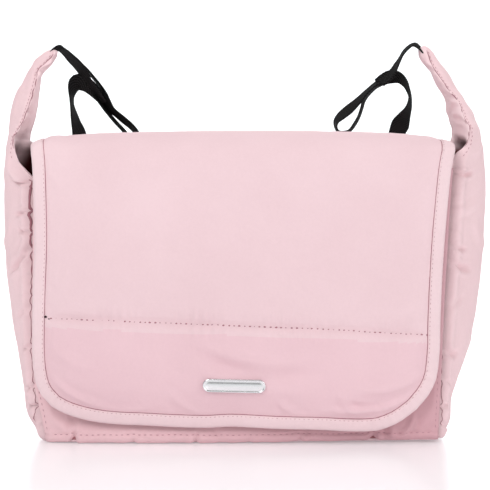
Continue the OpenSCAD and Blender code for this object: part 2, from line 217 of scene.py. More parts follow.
def metal(name, colour, rough, scratch=0.10):
    m = Mat(name)
    tc = m.node("ShaderNodeTexCoord")
    n = m.node("ShaderNodeTexNoise", Scale=300.0, Detail=3.0)
    mp = m.node("ShaderNodeMapping")
    mp.inputs["Scale"].default_value = (1, 6, 6)
    m.link(tc.outputs["Object"], mp.inputs["Vector"])
    m.link(mp.outputs["Vector"], n.inputs["Vector"])
    rr = m.node("ShaderNodeMapRange")
    rr.inputs["To Min"].default_value = max(rough - 0.08, 0.03)
    rr.inputs["To Max"].default_value = rough + 0.12
    m.link(n.outputs["Fac"], rr.inputs["Value"])
    m.link(rr.outputs["Result"], m.b.inputs["Roughness"])
    c = ramp(m, n.outputs["Fac"], [(0.2, tuple(v * 0.88 for v in colour)), (0.8, colour)])
    m.link(c.outputs["Color"], m.b.inputs["Base Color"])
    b = m.bump(n.outputs["Fac"], scratch, 0.0002)
    m.link(b.outputs["Normal"], m.b.inputs["Normal"])
    m.b.inputs["Metallic"].default_value = 1.0
    return m.m


def plastic(name, colour, rough):
    m = Mat(name)
    tc = m.node("ShaderNodeTexCoord")
    n = m.node("ShaderNodeTexNoise", Scale=1400.0, Detail=2.0)
    m.link(tc.outputs["Object"], n.inputs["Vector"])
    c = ramp(m, n.outputs["Fac"], [(0.3, tuple(v * 0.8 for v in colour)), (0.7, colour)])
    m.link(c.outputs["Color"], m.b.inputs["Base Color"])
    b = m.bump(n.outputs["Fac"], 0.2, 0.0002)
    m.link(b.outputs["Normal"], m.b.inputs["Normal"])
    m.b.inputs["Roughness"].default_value = rough
    return m.m


PINK = fabric("pink_fabric", (0.862, 0.640, 0.672), (0.802, 0.579, 0.611))
# painted shade: a darker copy of the pink for the flap's lower field, standing in for shade on the downward-facing puff
PINK_LOWER_SHADED = fabric("pink_fabric_lower_painted_shade", (0.850, 0.590, 0.634), (0.790, 0.534, 0.578))
# painted light: a lighter copy of the pink, standing in for more light on the sides; used for the side gussets and the
# back panel
PINK_SIDE_LIT = fabric("pink_fabric_side_painted_light", (0.915, 0.672, 0.698), (0.852, 0.608, 0.635))
# painted shade: the front panel's colour darkens toward +x, standing in for the shadow the flap casts on this strip
PINK_FRONT_SHADED = fabric("pink_fabric_front_painted_shade", (0.872, 0.590, 0.622), (0.812, 0.530, 0.563), painted_shade=((1.0, 0.0, 0.0), -0.14, 0.13, (0.665, 0.385, 0.425)))
# painted light and shade on the wings' inner faces: a lighter pink than outside stands in for light on them, and the
# fade to deep dark red lower down, toward the mouth's cavity, is painted shadow
WING_IN_L_LIT_AND_SHADED = fabric("wing_inside_left_painted_light_and_shade", (0.950, 0.720, 0.745), (0.900, 0.660, 0.690), sheen=0.0, painted_shade=((0.94, 0.0, -0.35), -0.2850, -0.2745, (0.10, 0.006, 0.007)))
WING_IN_R_LIT_AND_SHADED = fabric("wing_inside_right_painted_light_and_shade", (0.950, 0.720, 0.745), (0.900, 0.660, 0.690), sheen=0.0, painted_shade=((0.0, 0.0, -1.0), -0.2690, -0.2600, (0.13, 0.020, 0.024)))
BIND = fabric("pink_binding", (0.870, 0.665, 0.690), (0.815, 0.605, 0.632), weave=0.0007, weave_bump=0.35)
# painted shade: the lining and the bag's inner faces are a much darker pink than the outside, standing in for the shade
# inside the bag
LINING_SHADED = fabric("pink_lining_painted_shade", (0.440, 0.190, 0.205), (0.360, 0.145, 0.160), weave=0.0010, rough=0.6, sheen=0.1, weave_bump=0.4)
THREAD = fabric("pink_thread", (0.560, 0.300, 0.340), (0.440, 0.210, 0.250), weave=0.0004, rough=0.6, sheen=0.1)
DITCH = fabric("seam_thread", (0.430, 0.190, 0.225), (0.340, 0.140, 0.170), weave=0.0004, rough=0.7, sheen=0.0)
WEB = webbing("black_webbing")
ELASTIC = webbing("black_elastic", (0.03, 0.03, 0.032), (0.008, 0.008, 0.009))
BLACK_THREAD = webbing("black_thread", (0.10, 0.10, 0.105), (0.03, 0.03, 0.032))
CHROME = metal("badge_metal", (0.86, 0.86, 0.87), 0.16, 0.05)
SNAP = metal("snap_metal", (0.74, 0.74, 0.75), 0.28)
SLIDER = plastic("slider_plastic", (0.025, 0.025, 0.027), 0.38)
BOARD = plastic("stiffener_board", (0.30, 0.28, 0.26), 0.7)


# ------------------------------------------------------------------ floor
def floor():
    me = bpy.data.meshes.new("studio_floor")
    rows = [(-3.0, 0.0)] + [(y, 0.0) for y in (-1.0, 0.0, 1.0, 2.2)]
    rows += [(2.2 + 1.0 * math.sin(a), 1.0 - 1.0 * math.cos(a)) for a in [k * math.pi / 24 for k in range(1, 13)]] + [(3.2, 3.5)]
    v = [(x, y, z - 0.0004) for y, z in rows for x in (-4, 4)]
    f = [(2 * k, 2 * k + 1, 2 * k + 3, 2 * k + 2) for k in range(len(rows) - 1)]
    me.from_pydata(v, [], f)
    for p in me.polygons:
        p.use_smooth = True
    m = Mat("floor_white")
    tc = m.node("ShaderNodeTexCoord")
    n = m.node("ShaderNodeTexNoise", Scale=3.0, Detail=2.0)
    m.link(tc.outputs["Object"], n.inputs["Vector"])
    r = ramp(m, n.outputs["Fac"], [(0.0, (0.885, 0.905, 0.92)), (1.0, (0.91, 0.93, 0.945))])
    m.link(r.outputs["Color"], m.b.inputs["Base Color"])
    m.b.inputs["Roughness"].default_value = 0.2
    m.b.inputs["Specular IOR Level"].default_value = 0.52
    m.b.inputs["Emission Color"].default_value = (0.96, 1.0, 1.0, 1)
    m.b.inputs["Emission Strength"].default_value = 0.158
    me.materials.append(m.m)
    ob = bpy.data.objects.new("studio_floor", me)
    bpy.context.scene.collection.objects.link(ob)


floor()


# ------------------------------------------------------------------ numbers and meshes, all in millimetres
def pchip(tab, k=1):
    """A smooth curve through a table's points that never overshoots them."""
    x = np.array([t[0] for t in tab], float)
    y = np.array([t[k] for t in tab], float)
    h = np.diff(x)
    d = np.diff(y) / h
    m = np.zeros_like(y)
    s = d[:-1] * d[1:] > 0
    m[1:-1][s] = (2 * d[:-1] * d[1:] / (d[:-1] + d[1:] + 1e-12))[s]
    m[0], m[-1] = d[0], d[-1]

    def f(q):
        q = np.clip(np.asarray(q, float), x[0], x[-1])
        i = np.clip(np.searchsorted(x, q, side="right") - 1, 0, len(h) - 1)
        t = (q - x[i]) / h[i]
        return ((2 * t**3 - 3 * t**2 + 1) * y[i] + (t**3 - 2 * t**2 + t) * h[i] * m[i]
                + (3 * t**2 - 2 * t**3) * y[i + 1] + (t**3 - t**2) * h[i] * m[i + 1])

    return f


def spline(points, n, closed=False, at=None):
    """Points spread evenly along a smooth curve through the given ones."""
    p = np.array(points, float)
    if closed:
        p = np.vstack([p[-3:], p, p[:3]])
    t = np.concatenate([[0], np.cumsum(np.sqrt((np.diff(p, axis=0) ** 2).sum(1)) ** 0.75 + 1e-9)])
    m = np.zeros_like(p)
    m[1:-1] = (p[2:] - p[:-2]) / (t[2:] - t[:-2])[:, None]
    m[0], m[-1] = (p[1] - p[0]) / (t[1] - t[0]), (p[-1] - p[-2]) / (t[-1] - t[-2])

    def ev(q):
        i = np.clip(np.searchsorted(t, q, side="right") - 1, 0, len(t) - 2)
        h = (t[i + 1] - t[i])[:, None]
        u = ((q - t[i]) / h[:, 0])[:, None]
        return ((2 * u**3 - 3 * u**2 + 1) * p[i] + (u**3 - 2 * u**2 + u) * h * m[i]
                + (3 * u**2 - 2 * u**3) * p[i + 1] + (u**3 - u**2) * h * m[i + 1])

    a, b = (t[3], t[-3]) if closed else (t[0], t[-1])
    if at is not None:
        return ev(a + (b - a) * np.asarray(at, float))
    fine = ev(np.linspace(a, b, 2000))
    s = np.concatenate([[0], np.cumsum(np.sqrt((np.diff(fine, axis=0) ** 2).sum(1)))])
    want = np.linspace(0, s[-1], n + 1)[:-1] if closed else np.linspace(0, s[-1], n)
    return np.stack([np.interp(want, s, fine[:, k]) for k in range(p.shape[1])], 1)


def _hash(ix, iy, seed):
    n = (ix * 374761393 + iy * 668265263 + seed * 1442695041) & 0xFFFFFFFF
    n = ((n ^ (n >> 13)) * 1274126177) & 0xFFFFFFFF
    return ((n ^ (n >> 16)) & 0xFFFF) / 65535.0 * 2 - 1


def noise(x, y, seed=0):
    x, y = np.broadcast_arrays(np.asarray(x, float), np.asarray(y, float))
    ix, iy = np.floor(x).astype(np.int64), np.floor(y).astype(np.int64)
    fx, fy = x - ix, y - iy
    u, v = fx**3 * (fx * (fx * 6 - 15) + 10), fy**3 * (fy * (fy * 6 - 15) + 10)
    a, b = _hash(ix, iy, seed), _hash(ix + 1, iy, seed)
    c, d = _hash(ix, iy + 1, seed), _hash(ix + 1, iy + 1, seed)
    return (a * (1 - u) + b * u) * (1 - v) + (c * (1 - u) + d * u) * v


def smooth(a, b, x):
    t = np.clip((np.asarray(x, float) - a) / (b - a), 0, 1)
    return t * t * (3 - 2 * t)


def fold(x, y, a, b, width, height, taper=0.5):
    """A soft ridge (or, with a negative height, a crease) along the line from a to b."""
    a, b = np.array(a, float), np.array(b, float)
    d = b - a
    L = np.hypot(*d)
    px, py = x - a[0], y - a[1]
    t = (px * d[0] + py * d[1]) / (L * L)
    off = (px * d[1] - py * d[0]) / L
    bow = 0.08 * L * np.sin(np.pi * np.clip(t, 0, 1))
    along = smooth(-taper * 0.3, taper * 0.5, t) * (1 - smooth(1 - taper * 0.5, 1 + taper * 0.3, t))
    o = (off - bow) / width
    return height * along * (np.exp(-o * o) - 0.45 * np.exp(-((o - 1.6) ** 2)) - 0.25 * np.exp(-((o + 1.8) ** 2)))


def unit(v):
    return v / np.maximum(np.sqrt((v**2).sum(-1, keepdims=True)), 1e-9)


def grid_normals(P):
    return unit(np.cross(np.gradient(P, axis=1), np.gradient(P, axis=0)))


PIECES = {}


def mesh(name, V, F, mat, body=None, uv=None, mats=None, face_mat=None, merge=0.0):
    me = bpy.data.meshes.new(name)
    me.from_pydata((np.asarray(V, float) / 1000.0).tolist(), [], [list(map(int, f)) for f in F])
    for k in (mats or [mat]):
        me.materials.append(k)
    if face_mat is not None:
        me.polygons.foreach_set("material_index", np.asarray(face_mat, np.int32))
    me.polygons.foreach_set("use_smooth", np.ones(len(me.polygons), bool))
    if uv is not None:
        layer = me.uv_layers.new(name="cloth")
        vi = np.zeros(len(me.loops), np.int32)
        me.loops.foreach_get("vertex_index", vi)
        layer.data.foreach_set("uv", (np.asarray(uv, float)[vi] / 1000.0).ravel())
    bm = bmesh.new()
    bm.from_mesh(me)
    if merge:
        bmesh.ops.remove_doubles(bm, verts=bm.verts, dist=merge / 1000.0)
    bmesh.ops.recalc_face_normals(bm, faces=bm.faces)
    bm.to_mesh(me)
    bm.free()
    me.update()
    ob = bpy.data.objects.new(name, me)
    bpy.context.scene.collection.objects.link(ob)
    if body:
        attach(ob, body)
    PIECES[name] = ob
    return ob


def slab(outer, inner, wrap=False):
    """Vertices and faces of a closed sheet between two grids. With wrap, the columns run all the way round."""
    n, m, _ = outer.shape
    V = np.vstack([outer.reshape(-1, 3), inner.reshape(-1, 3)])
    I = np.arange(n * m).reshape(n, m)
    J = I + n * m
    if wrap:
        I, J = np.hstack([I, I[:, :1]]), np.hstack([J, J[:, :1]])
    q = lambda A: np.stack([A[:-1, :-1], A[:-1, 1:], A[1:, 1:], A[1:, :-1]], -1).reshape(-1, 4)
    F = [q(I), q(J)[:, ::-1]]
    rim = lambda a, b: np.stack([a[:-1], a[1:], b[1:], b[:-1]], -1)
    F += [rim(I[0], J[0])[:, ::-1], rim(I[-1], J[-1])]
    if not wrap:
        F += [rim(I[:, 0], J[:, 0]), rim(I[:, -1], J[:, -1])[:, ::-1]]
    n_out = len(F[0])
    F = np.vstack(F)
    return V, F, n_out


def cloth_uv(P):
    """Lengths along a grid's rows and columns, so that a weave keeps its size."""
    du = np.sqrt((np.diff(P, axis=1) ** 2).sum(-1))
    dv = np.sqrt((np.diff(P, axis=0) ** 2).sum(-1))
    u = np.concatenate([np.zeros((P.shape[0], 1)), np.cumsum(du, 1)], 1)
    v = np.concatenate([np.zeros((1, P.shape[1])), np.cumsum(dv, 0)], 0)
    u = np.broadcast_to(u.mean(0), P.shape[:2])
    v = np.broadcast_to(v.mean(1)[:, None], P.shape[:2])
    return np.stack([u, v], -1).reshape(-1, 2)


def settle(P, hold, fuller, pressure, bend=0.6, frames=22, keep=5.0):
    """Let a grid of cloth settle over its padding. hold is 1 where it is sewn and small where the padding only steadies
    it, fuller is the share by which the cloth is longer than the shape it covers, and pressure is the padding's push."""
    n, m, _ = P.shape
    size = 10.0
    me = bpy.data.meshes.new("settling")
    I = np.arange(n * m).reshape(n, m)
    F = np.stack([I[:-1, :-1], I[:-1, 1:], I[1:, 1:], I[1:, :-1]], -1).reshape(-1, 4)
    me.from_pydata((P.reshape(-1, 3) / 1000.0 * size).tolist(), [], F.tolist())
    ob = bpy.data.objects.new("settling", me)
    bpy.context.scene.collection.objects.link(ob)
    pin = ob.vertex_groups.new(name="pin")
    full = ob.vertex_groups.new(name="full")
    hold, fuller = np.broadcast_to(hold, (n, m)).ravel(), np.broadcast_to(fuller, (n, m)).ravel()
    for lev in np.unique(np.round(hold, 2)):
        pin.add(np.where(np.round(hold, 2) == lev)[0].tolist(), float(lev), "REPLACE")
    top = float(fuller.max())
    share = np.round(fuller / top, 1)
    for lev in np.unique(share):
        full.add(np.where(share == lev)[0].tolist(), float(lev), "REPLACE")
    mod = ob.modifiers.new("cloth", "CLOTH")
    c = mod.settings
    c.quality = 5
    c.mass = 0.2
    c.air_damping = 3.0
    c.tension_stiffness = c.compression_stiffness = 20.0
    c.shear_stiffness = 8.0
    c.bending_stiffness = bend
    c.tension_damping = c.compression_damping = 12.0
    c.shear_damping = 8.0
    c.bending_damping = 1.0
    c.vertex_group_mass = "pin"
    c.pin_stiffness = 1.0
    c.vertex_group_shrink = "full"
    c.shrink_min = 0.0
    c.shrink_max = -top
    if pressure:
        c.use_pressure = True
        c.uniform_pressure_force = pressure
    c.effector_weights.gravity = 0.0
    mod.collision_settings.use_collision = False
    mod.collision_settings.use_self_collision = False
    mod.point_cache.frame_start = 1
    mod.point_cache.frame_end = frames
    sc = bpy.context.scene
    for f in range(1, frames + 1):
        sc.frame_set(f)
    deps = bpy.context.evaluated_depsgraph_get()
    ev = ob.evaluated_get(deps)
    q = np.zeros(n * m * 3)
    ev.data.vertices.foreach_get("co", q)
    Q = q.reshape(n, m, 3) * 1000.0 / size
    sc.frame_set(1)
    bpy.data.objects.remove(ob)
    bpy.data.meshes.remove(me)
    D = Q - P
    L = np.sqrt((D**2).sum(-1, keepdims=True))
    print("settled", n * m, "mean move %.2f, largest %.2f mm" % (L.mean(), L.max()))
    return P + D * np.minimum(1.0, keep / np.maximum(L, 1e-9))


def sheet_mesh(name, outer, inner, mat, body=None, inner_mat=None, wrap=False):
    V, F, k = slab(outer, inner, wrap)
    uv = cloth_uv(outer)
    fm = np.zeros(len(F), int)
    if inner_mat is not None:
        fm[k:2 * k] = 1
    return mesh(name, V, F, mat, body, np.vstack([uv, uv]), [mat, inner_mat] if inner_mat else None, fm)


def tube(name, path, side, up, half_w, half_t, mat, body=None, power=2.6, around=18, closed=False):
    """A flattened rounded band swept along a path; side and up give the section's directions."""
    P, S, U = (np.asarray(a, float) for a in (path, side, up))
    a = np.linspace(0, 2 * np.pi, around, endpoint=False)
    c, s = np.cos(a), np.sin(a)
    cx = np.sign(c) * np.abs(c) ** (2 / power)
    sx = np.sign(s) * np.abs(s) ** (2 / power)
    hw = np.broadcast_to(np.asarray(half_w, float), (len(P),))[:, None, None]
    ht = np.broadcast_to(np.asarray(half_t, float), (len(P),))[:, None, None]
    R = P[:, None] + S[:, None] * cx[None, :, None] * hw + U[:, None] * sx[None, :, None] * ht
    n = len(P)
    V = R.reshape(-1, 3)
    I = np.arange(n * around).reshape(n, around)
    I = np.hstack([I, I[:, :1]])
    if closed:
        I = np.vstack([I, I[:1]])
    F = np.stack([I[:-1, :-1], I[:-1, 1:], I[1:, 1:], I[1:, :-1]], -1).reshape(-1, 4).tolist()
    L = np.concatenate([[0], np.cumsum(np.sqrt((np.diff(P, axis=0) ** 2).sum(1)))])
    uv = np.stack(np.broadcast_arrays(L[:, None], (a / (2 * np.pi) * 30)[None]), -1).reshape(-1, 2)
    if not closed:
        F += [list(range(around))[::-1], list(range((n - 1) * around, n * around))]
    return mesh(name, V, F, mat, body, uv)


def stitches(name, P, N, mat, body, spacing=5.0, length=3.4, r=0.42, lift=0.1):
    """A row of thread stitches along the points P, lying on a surface whose normals are N."""
    P, N = np.asarray(P, float), np.asarray(N, float)
    L = np.concatenate([[0], np.cumsum(np.sqrt((np.diff(P, axis=0) ** 2).sum(1)))])
    V, F = [], []
    k = int(L[-1] / spacing)
    for i in range(k):
        a = (i + 0.5) * L[-1] / k + 0.35 * float(noise(i * 0.9, 3.0, 11))
        q = [a - length / 2, a - length / 4, a, a + length / 4, a + length / 2]
        C = np.stack([np.interp(q, L, P[:, j]) for j in range(3)], 1)
        nn = unit(np.array([[np.interp(a, L, N[:, j]) for j in range(3)]]))[0]
        T = unit((C[-1] - C[0])[None])[0]
        B = np.cross(T, nn)
        base = len(V)
        for c, f, z in zip(C, (0.15, 0.85, 1.0, 0.85, 0.15), (-0.45, 0.05, 0.2, 0.05, -0.45)):
            for g in range(6):
                w = g * math.pi / 3
                V.append(c + nn * (lift + z * r) + r * f * (math.cos(w) * B + math.sin(w) * nn))
        for u in range(4):
            for g in range(6):
                F.append((base + u * 6 + g, base + u * 6 + (g + 1) % 6, base + u * 6 + 6 + (g + 1) % 6, base + u * 6 + 6 + g))
        F.append(tuple(base + g for g in range(5, -1, -1)))
        F.append(tuple(base + 24 + g for g in range(6)))
    return mesh(name, np.array(V), F, mat, body)


# ------------------------------------------------------------------ the bag's section, as in the frame
xfl = pchip([[0, -174], [20, -178], [35, -181], [50, -184], [100, -186], [170, -186], [244, -186], [270, -186]])
xfr = pchip([[0, 172], [50, 174], [100, 176], [170, 180], [236, 185], [244, 186], [270, 186]])
xbl = pchip([[0, -174], [50, -183], [100, -186], [200, -187], [262, -190]])
xbr = pchip([[0, 172], [50, 176], [100, 181], [200, 185], [262, 189]])
yf = pchip([[0, -51], [60, -54], [150, -53], [210, -50], [244, -47]])
yb = pchip([[0, 51], [60, 54], [150, 54], [210, 51], [262, 48]])
bulge_f = pchip([[0, 2], [30, 7], [70, 12], [130, 13], [200, 8], [244, 3]])
bulge_b = pchip([[0, 1], [100, 5], [200, 3], [262, 0.5]])


def dome(u):
    return 1 - np.abs(np.clip(u, -1, 1)) ** 2.6


def front_pt(u, z, out):
    x = xfl(z) + (xfr(z) - xfl(z)) * (u + 1) / 2
    return np.stack(np.broadcast_arrays(x, yf(z) - bulge_f(z) * dome(u) - out, z), -1)


def back_pt(u, z, out):
    x = xbl(z) + (xbr(z) - xbl(z)) * (u + 1) / 2
    return np.stack(np.broadcast_arrays(x, yb(z) + bulge_b(z) * dome(u) + out, z), -1)


def fo(x, z):
    a, b = xfl(z), xfr(z)
    return yf(z) - bulge_f(z) * dome((x - (a + b) / 2) / ((b - a) / 2)) - 5.0


LF = [[0,-174,-50.7],[50,-184,-53.4],[100,-186,-53.2],[170,-186,-51.6],[226,-186,-48.5],[231,-190,-47.5],[237,-196.5,-46.5],[247,-203.5,-44],[258,-206,-40],[270,-206.5,-33],
      [276,-204,-25],[287,-199,-13],[297,-196.5,-5],[304,-195,2],[312,-193.5,10],[320,-192.5,16],[330,-191.5,24],[337,-190.5,30],[343.5,-184.2,34],[353,-177.5,38],[357,-178,40]]
LO = [[0,-180.6],[5,-184],[12,-188.6],[20,-194.2],[28,-196.6],[40,-197.8],[52,-199.4],[60,-200.6],[80,-204.4],[100,-208.4],[120,-210.6],[150,-214.4],[180,-216.2],[215,-217.4],[235,-217.6],[250,-215.4],[262,-214.4],[272,-214.6],[282,-215.5],[290,-215.2],
      [300,-214],[306,-213],[312,-211.5],[318,-209.5],[323,-206.5],[330,-203.5],[335.5,-201],[341,-197.5],[347,-194],[352,-188.6],[355,-185.6],[357,-184.2]]
LB = [[0,-174,50.7],[50,-183,53.4],[100,-186,53.7],[200,-187,51.2],[262,-190,47.7],[266,-195,47.7],[272,-201,47.7],[278,-200.5,47.8],[283,-199,48],[289,-197,48],[294,-195.5,48.2],
      [300,-194.5,48.4],[306,-193.2,48.6],[312,-192.6,48.8],[318,-191.8,49],[324,-191,49.4],[331,-190.2,49.8],[334.6,-188.7,50],[338.4,-185.6,50.2],[342,-181.4,50.5],[347.8,-177.4,50.8],[352,-175.2,51],[357,-175.2,51]]
RF = [[0,172,-50.7],[50,174,-53.4],[100,176,-53.2],[170,180,-51.6],[238,186,-46.6],[248,188,-44],[254,191,-42],[259,196,-40],[268,201,-35],[280,203,-28],[286,200,-21],
      [295,198.5,-11],[306,195.8,0],[317,188.4,12],[328,182.2,22],[334,179,27],[341,175.6,32],[346,173.4,35],[354,171.5,38],[361,169.5,41]]
RO = [[0,182.5],[5,183.8],[12,187.4],[19,189.2],[32,189.4],[51,195.2],[72,202.4],[95,208.6],[120,212.6],[150,216],[180,218.5],[210,220],[240,220.6],[262,220],[270,219],[278,218],[284,216.4],[289,214.2],
      [295,212.4],[300.5,209],[306,205.4],[312,203],[318,199],[324,196],[330,193.5],[336,190],[341.5,186],[347,182],[353,178],[357,175],[361,171.5]]
RB = [[0,172,50.7],[50,176,53.4],[100,181,53.7],[200,185,51.2],[262,189,47.7],[268,193,47.7],[276,196,47.7],[283,196,48],[289,194,48],[295,192.5,48.2],[300,190.5,48.4],[306,190.5,48.6],
      [312,189,48.8],[318,185.5,49],[324,181.5,49.4],[330,178.5,49.8],[336,176,50],[342,171,50.5],[347,166.8,50.8],[352,164.6,51],[357,164.4,51],[361,167,50]]


# the view the shapes were laid out in: scale, and the point the camera looks at
K, CX, CZ, PX = 1862.8, 1.37, 174.0, 245.0


class Side:
    def __init__(self, F, O, B, s, top, shut):
        self.top, self.shut = top, shut
        # where the dark line beside the flap runs, as seen from the front, and its half width: on the left it is a
        # painted shadow of the gap behind the flap's binding, on the right the seam line below the flap
        self.seam = ([[12, 37.4], [19, 37.4], [27.8, 37.4], [36.7, 36.4], [50, 34.4], [63.3, 32.5], [81, 31.7], [98.7, 31.2], [116.4, 30.9], [134, 31.3], [151.8, 31.7], [169.6, 31.6], [187.3, 31.3],
                      [200.6, 30.5], [209.4, 29.7], [222.7, 30.1], [236, 30.6]] if s < 0 else [[12, 441.4], [60, 441.2], [110, 441.6], [125, 442.4]])
        self.seam_top = 232 if s < 0 else 122
        self.seam_wide = pchip([[12, 0.26], [60, 0.3], [150, 0.42], [172, 0.8], [200, 1.1], [222, 1.2], [232, 0.5]] if s < 0 else [[12, 0.24], [122, 0.26]])
        self.nips = [(337, 4, 2.2), (349, 3, 1.0), (296, -8, 0.9)] if s < 0 else [(311, 9, 2.4), (300, -9, 1.6), (288, 8, 1.6), (338, 5, 1.2), (346, -4, 1.0)]
        self.fx, self.fy, self.o = pchip(F), pchip(F, 2), pchip(O)
        self.bx, self.by, self.s = pchip(B), pchip(B, 2), s
        self.t = pchip([[0, 4], [300, 4], [330, 3.4], [356, 2.6]])

    def xy(self, z, v):
        f = np.stack([self.fx(z), self.fy(z)], -1)
        b = np.stack([self.bx(z), self.by(z)], -1)
        o = np.stack([self.o(z), (f[..., 1] + b[..., 1]) / 2], -1)
        c = 2 * o - (f + b) / 2
        v = np.asarray(v)[..., None]
        return (1 - v) ** 2 * f + 2 * v * (1 - v) * c + v * v * b

    def grid(self, z, v):
        Z, V = np.meshgrid(z, v, indexing="ij")
        return np.concatenate([self.xy(Z, V), Z[..., None]], -1), Z, V


LEFT, RIGHT = Side(LF, LO, LB, -1, 357.0, (252, 277)), Side(RF, RO, RB, 1, 360.6, (254, 272))


def pillow(d, r):
    """Share of full thickness at distance d from a sewn edge."""
    t = np.clip(d / r, 0, 1)
    return np.sqrt(np.clip(1 - (1 - t) ** 2, 0, 1))


# ------------------------------------------------------------------ side gussets with their wings
RISE = pchip([[-190, 0.4], [-150, 0.0], [-60, 0.0], [0, 0.3], [50, 0.8], [85, 1.3], [115, 1.7], [160, 2.0], [190, 2.2]])
SPREAD = pchip([[-190, 10], [-100, 10], [-30, 8.5], [40, 6], [100, 3], [190, 2]])


def NN_at(out, N, rows, col):
    return N[rows, col]


def gusset(name, S, seed, folds):
    z = np.concatenate([np.linspace(0.6, 236, 140), np.linspace(236, S.top - 12, 84)[1:], S.top - 12 * (1 - np.linspace(0, 1, 20)[1:] ** 0.55)])
    v = np.linspace(0, 1, 72)
    P, Z, V = S.grid(z, v)
    N = grid_normals(P)
    if (N[60, 36, 0] > 0) != (S.s > 0):
        N = -N
    arc = np.concatenate([np.zeros((len(z), 1)), np.cumsum(np.sqrt((np.diff(P, axis=1) ** 2).sum(-1)), 1)], 1)
    back = arc[:, -1:] - arc
    d = np.minimum(arc, back)
    t = S.t(Z)
    low_part = 1 - smooth(238, 268, Z)
    # loose cloth: broad flutes, puckers where it is gathered into the seams, and a few diagonal folds
    free = smooth(0, 26, d)
    disp = 1.5 * noise(arc / 46 + 3, Z / 95, seed) * free + 0.8 * noise(arc / 17, Z / 38 + 7, seed + 1) * free
    gather = np.clip(0.35 + 0.9 * noise(Z / 26, 0 * Z, seed + 2), 0, 1)
    lam = 15 + 4 * noise(Z / 50, 0 * Z + 4, seed + 3)
    wave = np.sin(np.pi * Z / lam + 1.3 * noise(Z / 25, arc / 26, seed + 4))
    disp += 2.4 * gather * (np.abs(wave) ** 0.7 - 0.6) * np.exp(-((d - 5) / 9) ** 2) * low_part
    disp += 0.4 * noise(arc / 5.0, Z / 9.0, seed + 5) * np.exp(-d / 12) * low_part
    for a, b, w, h in folds:
        disp += fold(arc, Z, a, b, w, h)
    # the sewn edge is drawn in, and the cloth rolls out beside it
    disp += (-5.0 * np.exp(-(d / 4.2) ** 2) + 4.0 * np.exp(-((d - 10.5) / 5.2) ** 2)) * low_part
    # stitched edge of the wing, with the small tucks along it
    hi = 1 - low_part
    disp += hi * (-0.9 * np.exp(-((arc - 3.2) / 1.2) ** 2) + 0.35 * np.sin(2 * np.pi * Z / 7.3 + 2 * noise(Z / 14, arc / 9, seed + 6)) * np.exp(-((arc - 3.5) / 4.5) ** 2))
    disp += hi * 0.8 * noise(arc / 12, Z / 22, seed + 7) * smooth(3, 12, d)
    loose = settle(P + N * disp[..., None], np.clip(np.exp(-((d - 1.0) / 2.2) ** 4) + (Z > S.top - 16) + (Z < 3), 0.02, 1), 0.004 + 0.034 * np.exp(-d / 15), 0.0, bend=2.0, keep=4.0, frames=18)
    disp = ((loose - P) * N).sum(-1)
    edge = pillow(np.minimum(d + 0.25, 99), 4.5)
    low = pillow(Z - 0.2, 5)
    tip = smooth(S.top - 12, S.top, Z)
    out = P + N * (disp * (1 - 0.75 * tip))[..., None] - N * (t * (1 - edge) * 0.5)[..., None]
    inn = P - N * (t * (0.5 + 0.5 * edge) - disp * 0.6 * (1 - tip))[..., None]
    # above the mouth the wing is shut: its inner face runs from the front edge straight to the back edge
    fr, bk = P[:, :1], P[:, -1:]
    q = V[..., None]
    web = fr + (bk - fr) * q
    web[..., 0] = (fr + (bk - fr) * (1 - (1 - q) ** 2.3))[..., 0]
    web[..., 1] = (fr + (bk - fr) * (q ** 1.7 * 0.85 + q * 0.15))[..., 1]
    puff = 1.6 * np.sin(np.pi * V) ** 0.8 + 0.9 * noise(V * 3.2, Z / 24, seed + 8) * np.sin(np.pi * V) + 0.5 * np.sin(2 * np.pi * Z / 12 + 2 * noise(Z / 20, V * 4, seed + 9)) * np.exp(-((V - 0.06) / 0.12) ** 2)
    for zc, tilt, deep in S.nips:
        o = (Z - zc - tilt * (V - 0.3)) / 2.6
        nip = deep * (np.exp(-o * o) - 0.5 * np.exp(-((o - 1.9) ** 2)) - 0.5 * np.exp(-((o + 1.9) ** 2))) * np.sin(np.pi * np.clip(V * 1.1, 0, 1))
        puff = puff - nip
    web[..., 0] -= S.s * np.clip(puff, 0, 3) * 0.8
    web[..., 1] -= np.clip(puff, -1.5, 3) * 0.9
    w = smooth(*S.shut, Z - 7 * V)[..., None]
    thick = inn * (1 - w) + web * w
    inn = thick
    out[..., :2] += -N[..., :2] * ((1 - low) * 4.5)[..., None]
    inn[..., :2] += -N[..., :2] * ((1 - low) * 1.0)[..., None]
    for g in (out, inn):
        g[..., 2] += (RISE(P[..., 0]) + 0.4 * np.abs(noise(arc / 8, 0 * arc, seed + 15))) * (1 - smooth(0, 42, Z))
        g[..., 2] = np.maximum(g[..., 2], 0.05)
    c = (out.mean(1, keepdims=True) + inn.mean(1, keepdims=True)) / 2
    k = np.sqrt(np.clip(1 - (np.clip((Z - (S.top - 3.6)) / 3.65, 0, 1)) ** 2.2, 0.02, 1))[..., None]
    kk = np.concatenate([k, k, np.ones_like(k)], -1)
    out, inn = c + (out - c) * kk, c + (inn - c) * kk
    V0, F0, n0 = slab(out, inn)
    uv = cloth_uv(P)
    fm = np.zeros(len(F0), int)
    rows = np.repeat(np.arange(len(z) - 1), len(v) - 1)
    fm[n0:2 * n0] = 1
    ob = mesh(name, V0, F0, PINK_SIDE_LIT, "bag", np.vstack([uv, uv]), [PINK_SIDE_LIT, WING_IN_L_LIT_AND_SHADED if S.s < 0 else WING_IN_R_LIT_AND_SHADED], fm)
    # the seam that closes the wing, with its stitches
    tag = name.split("_")[0]
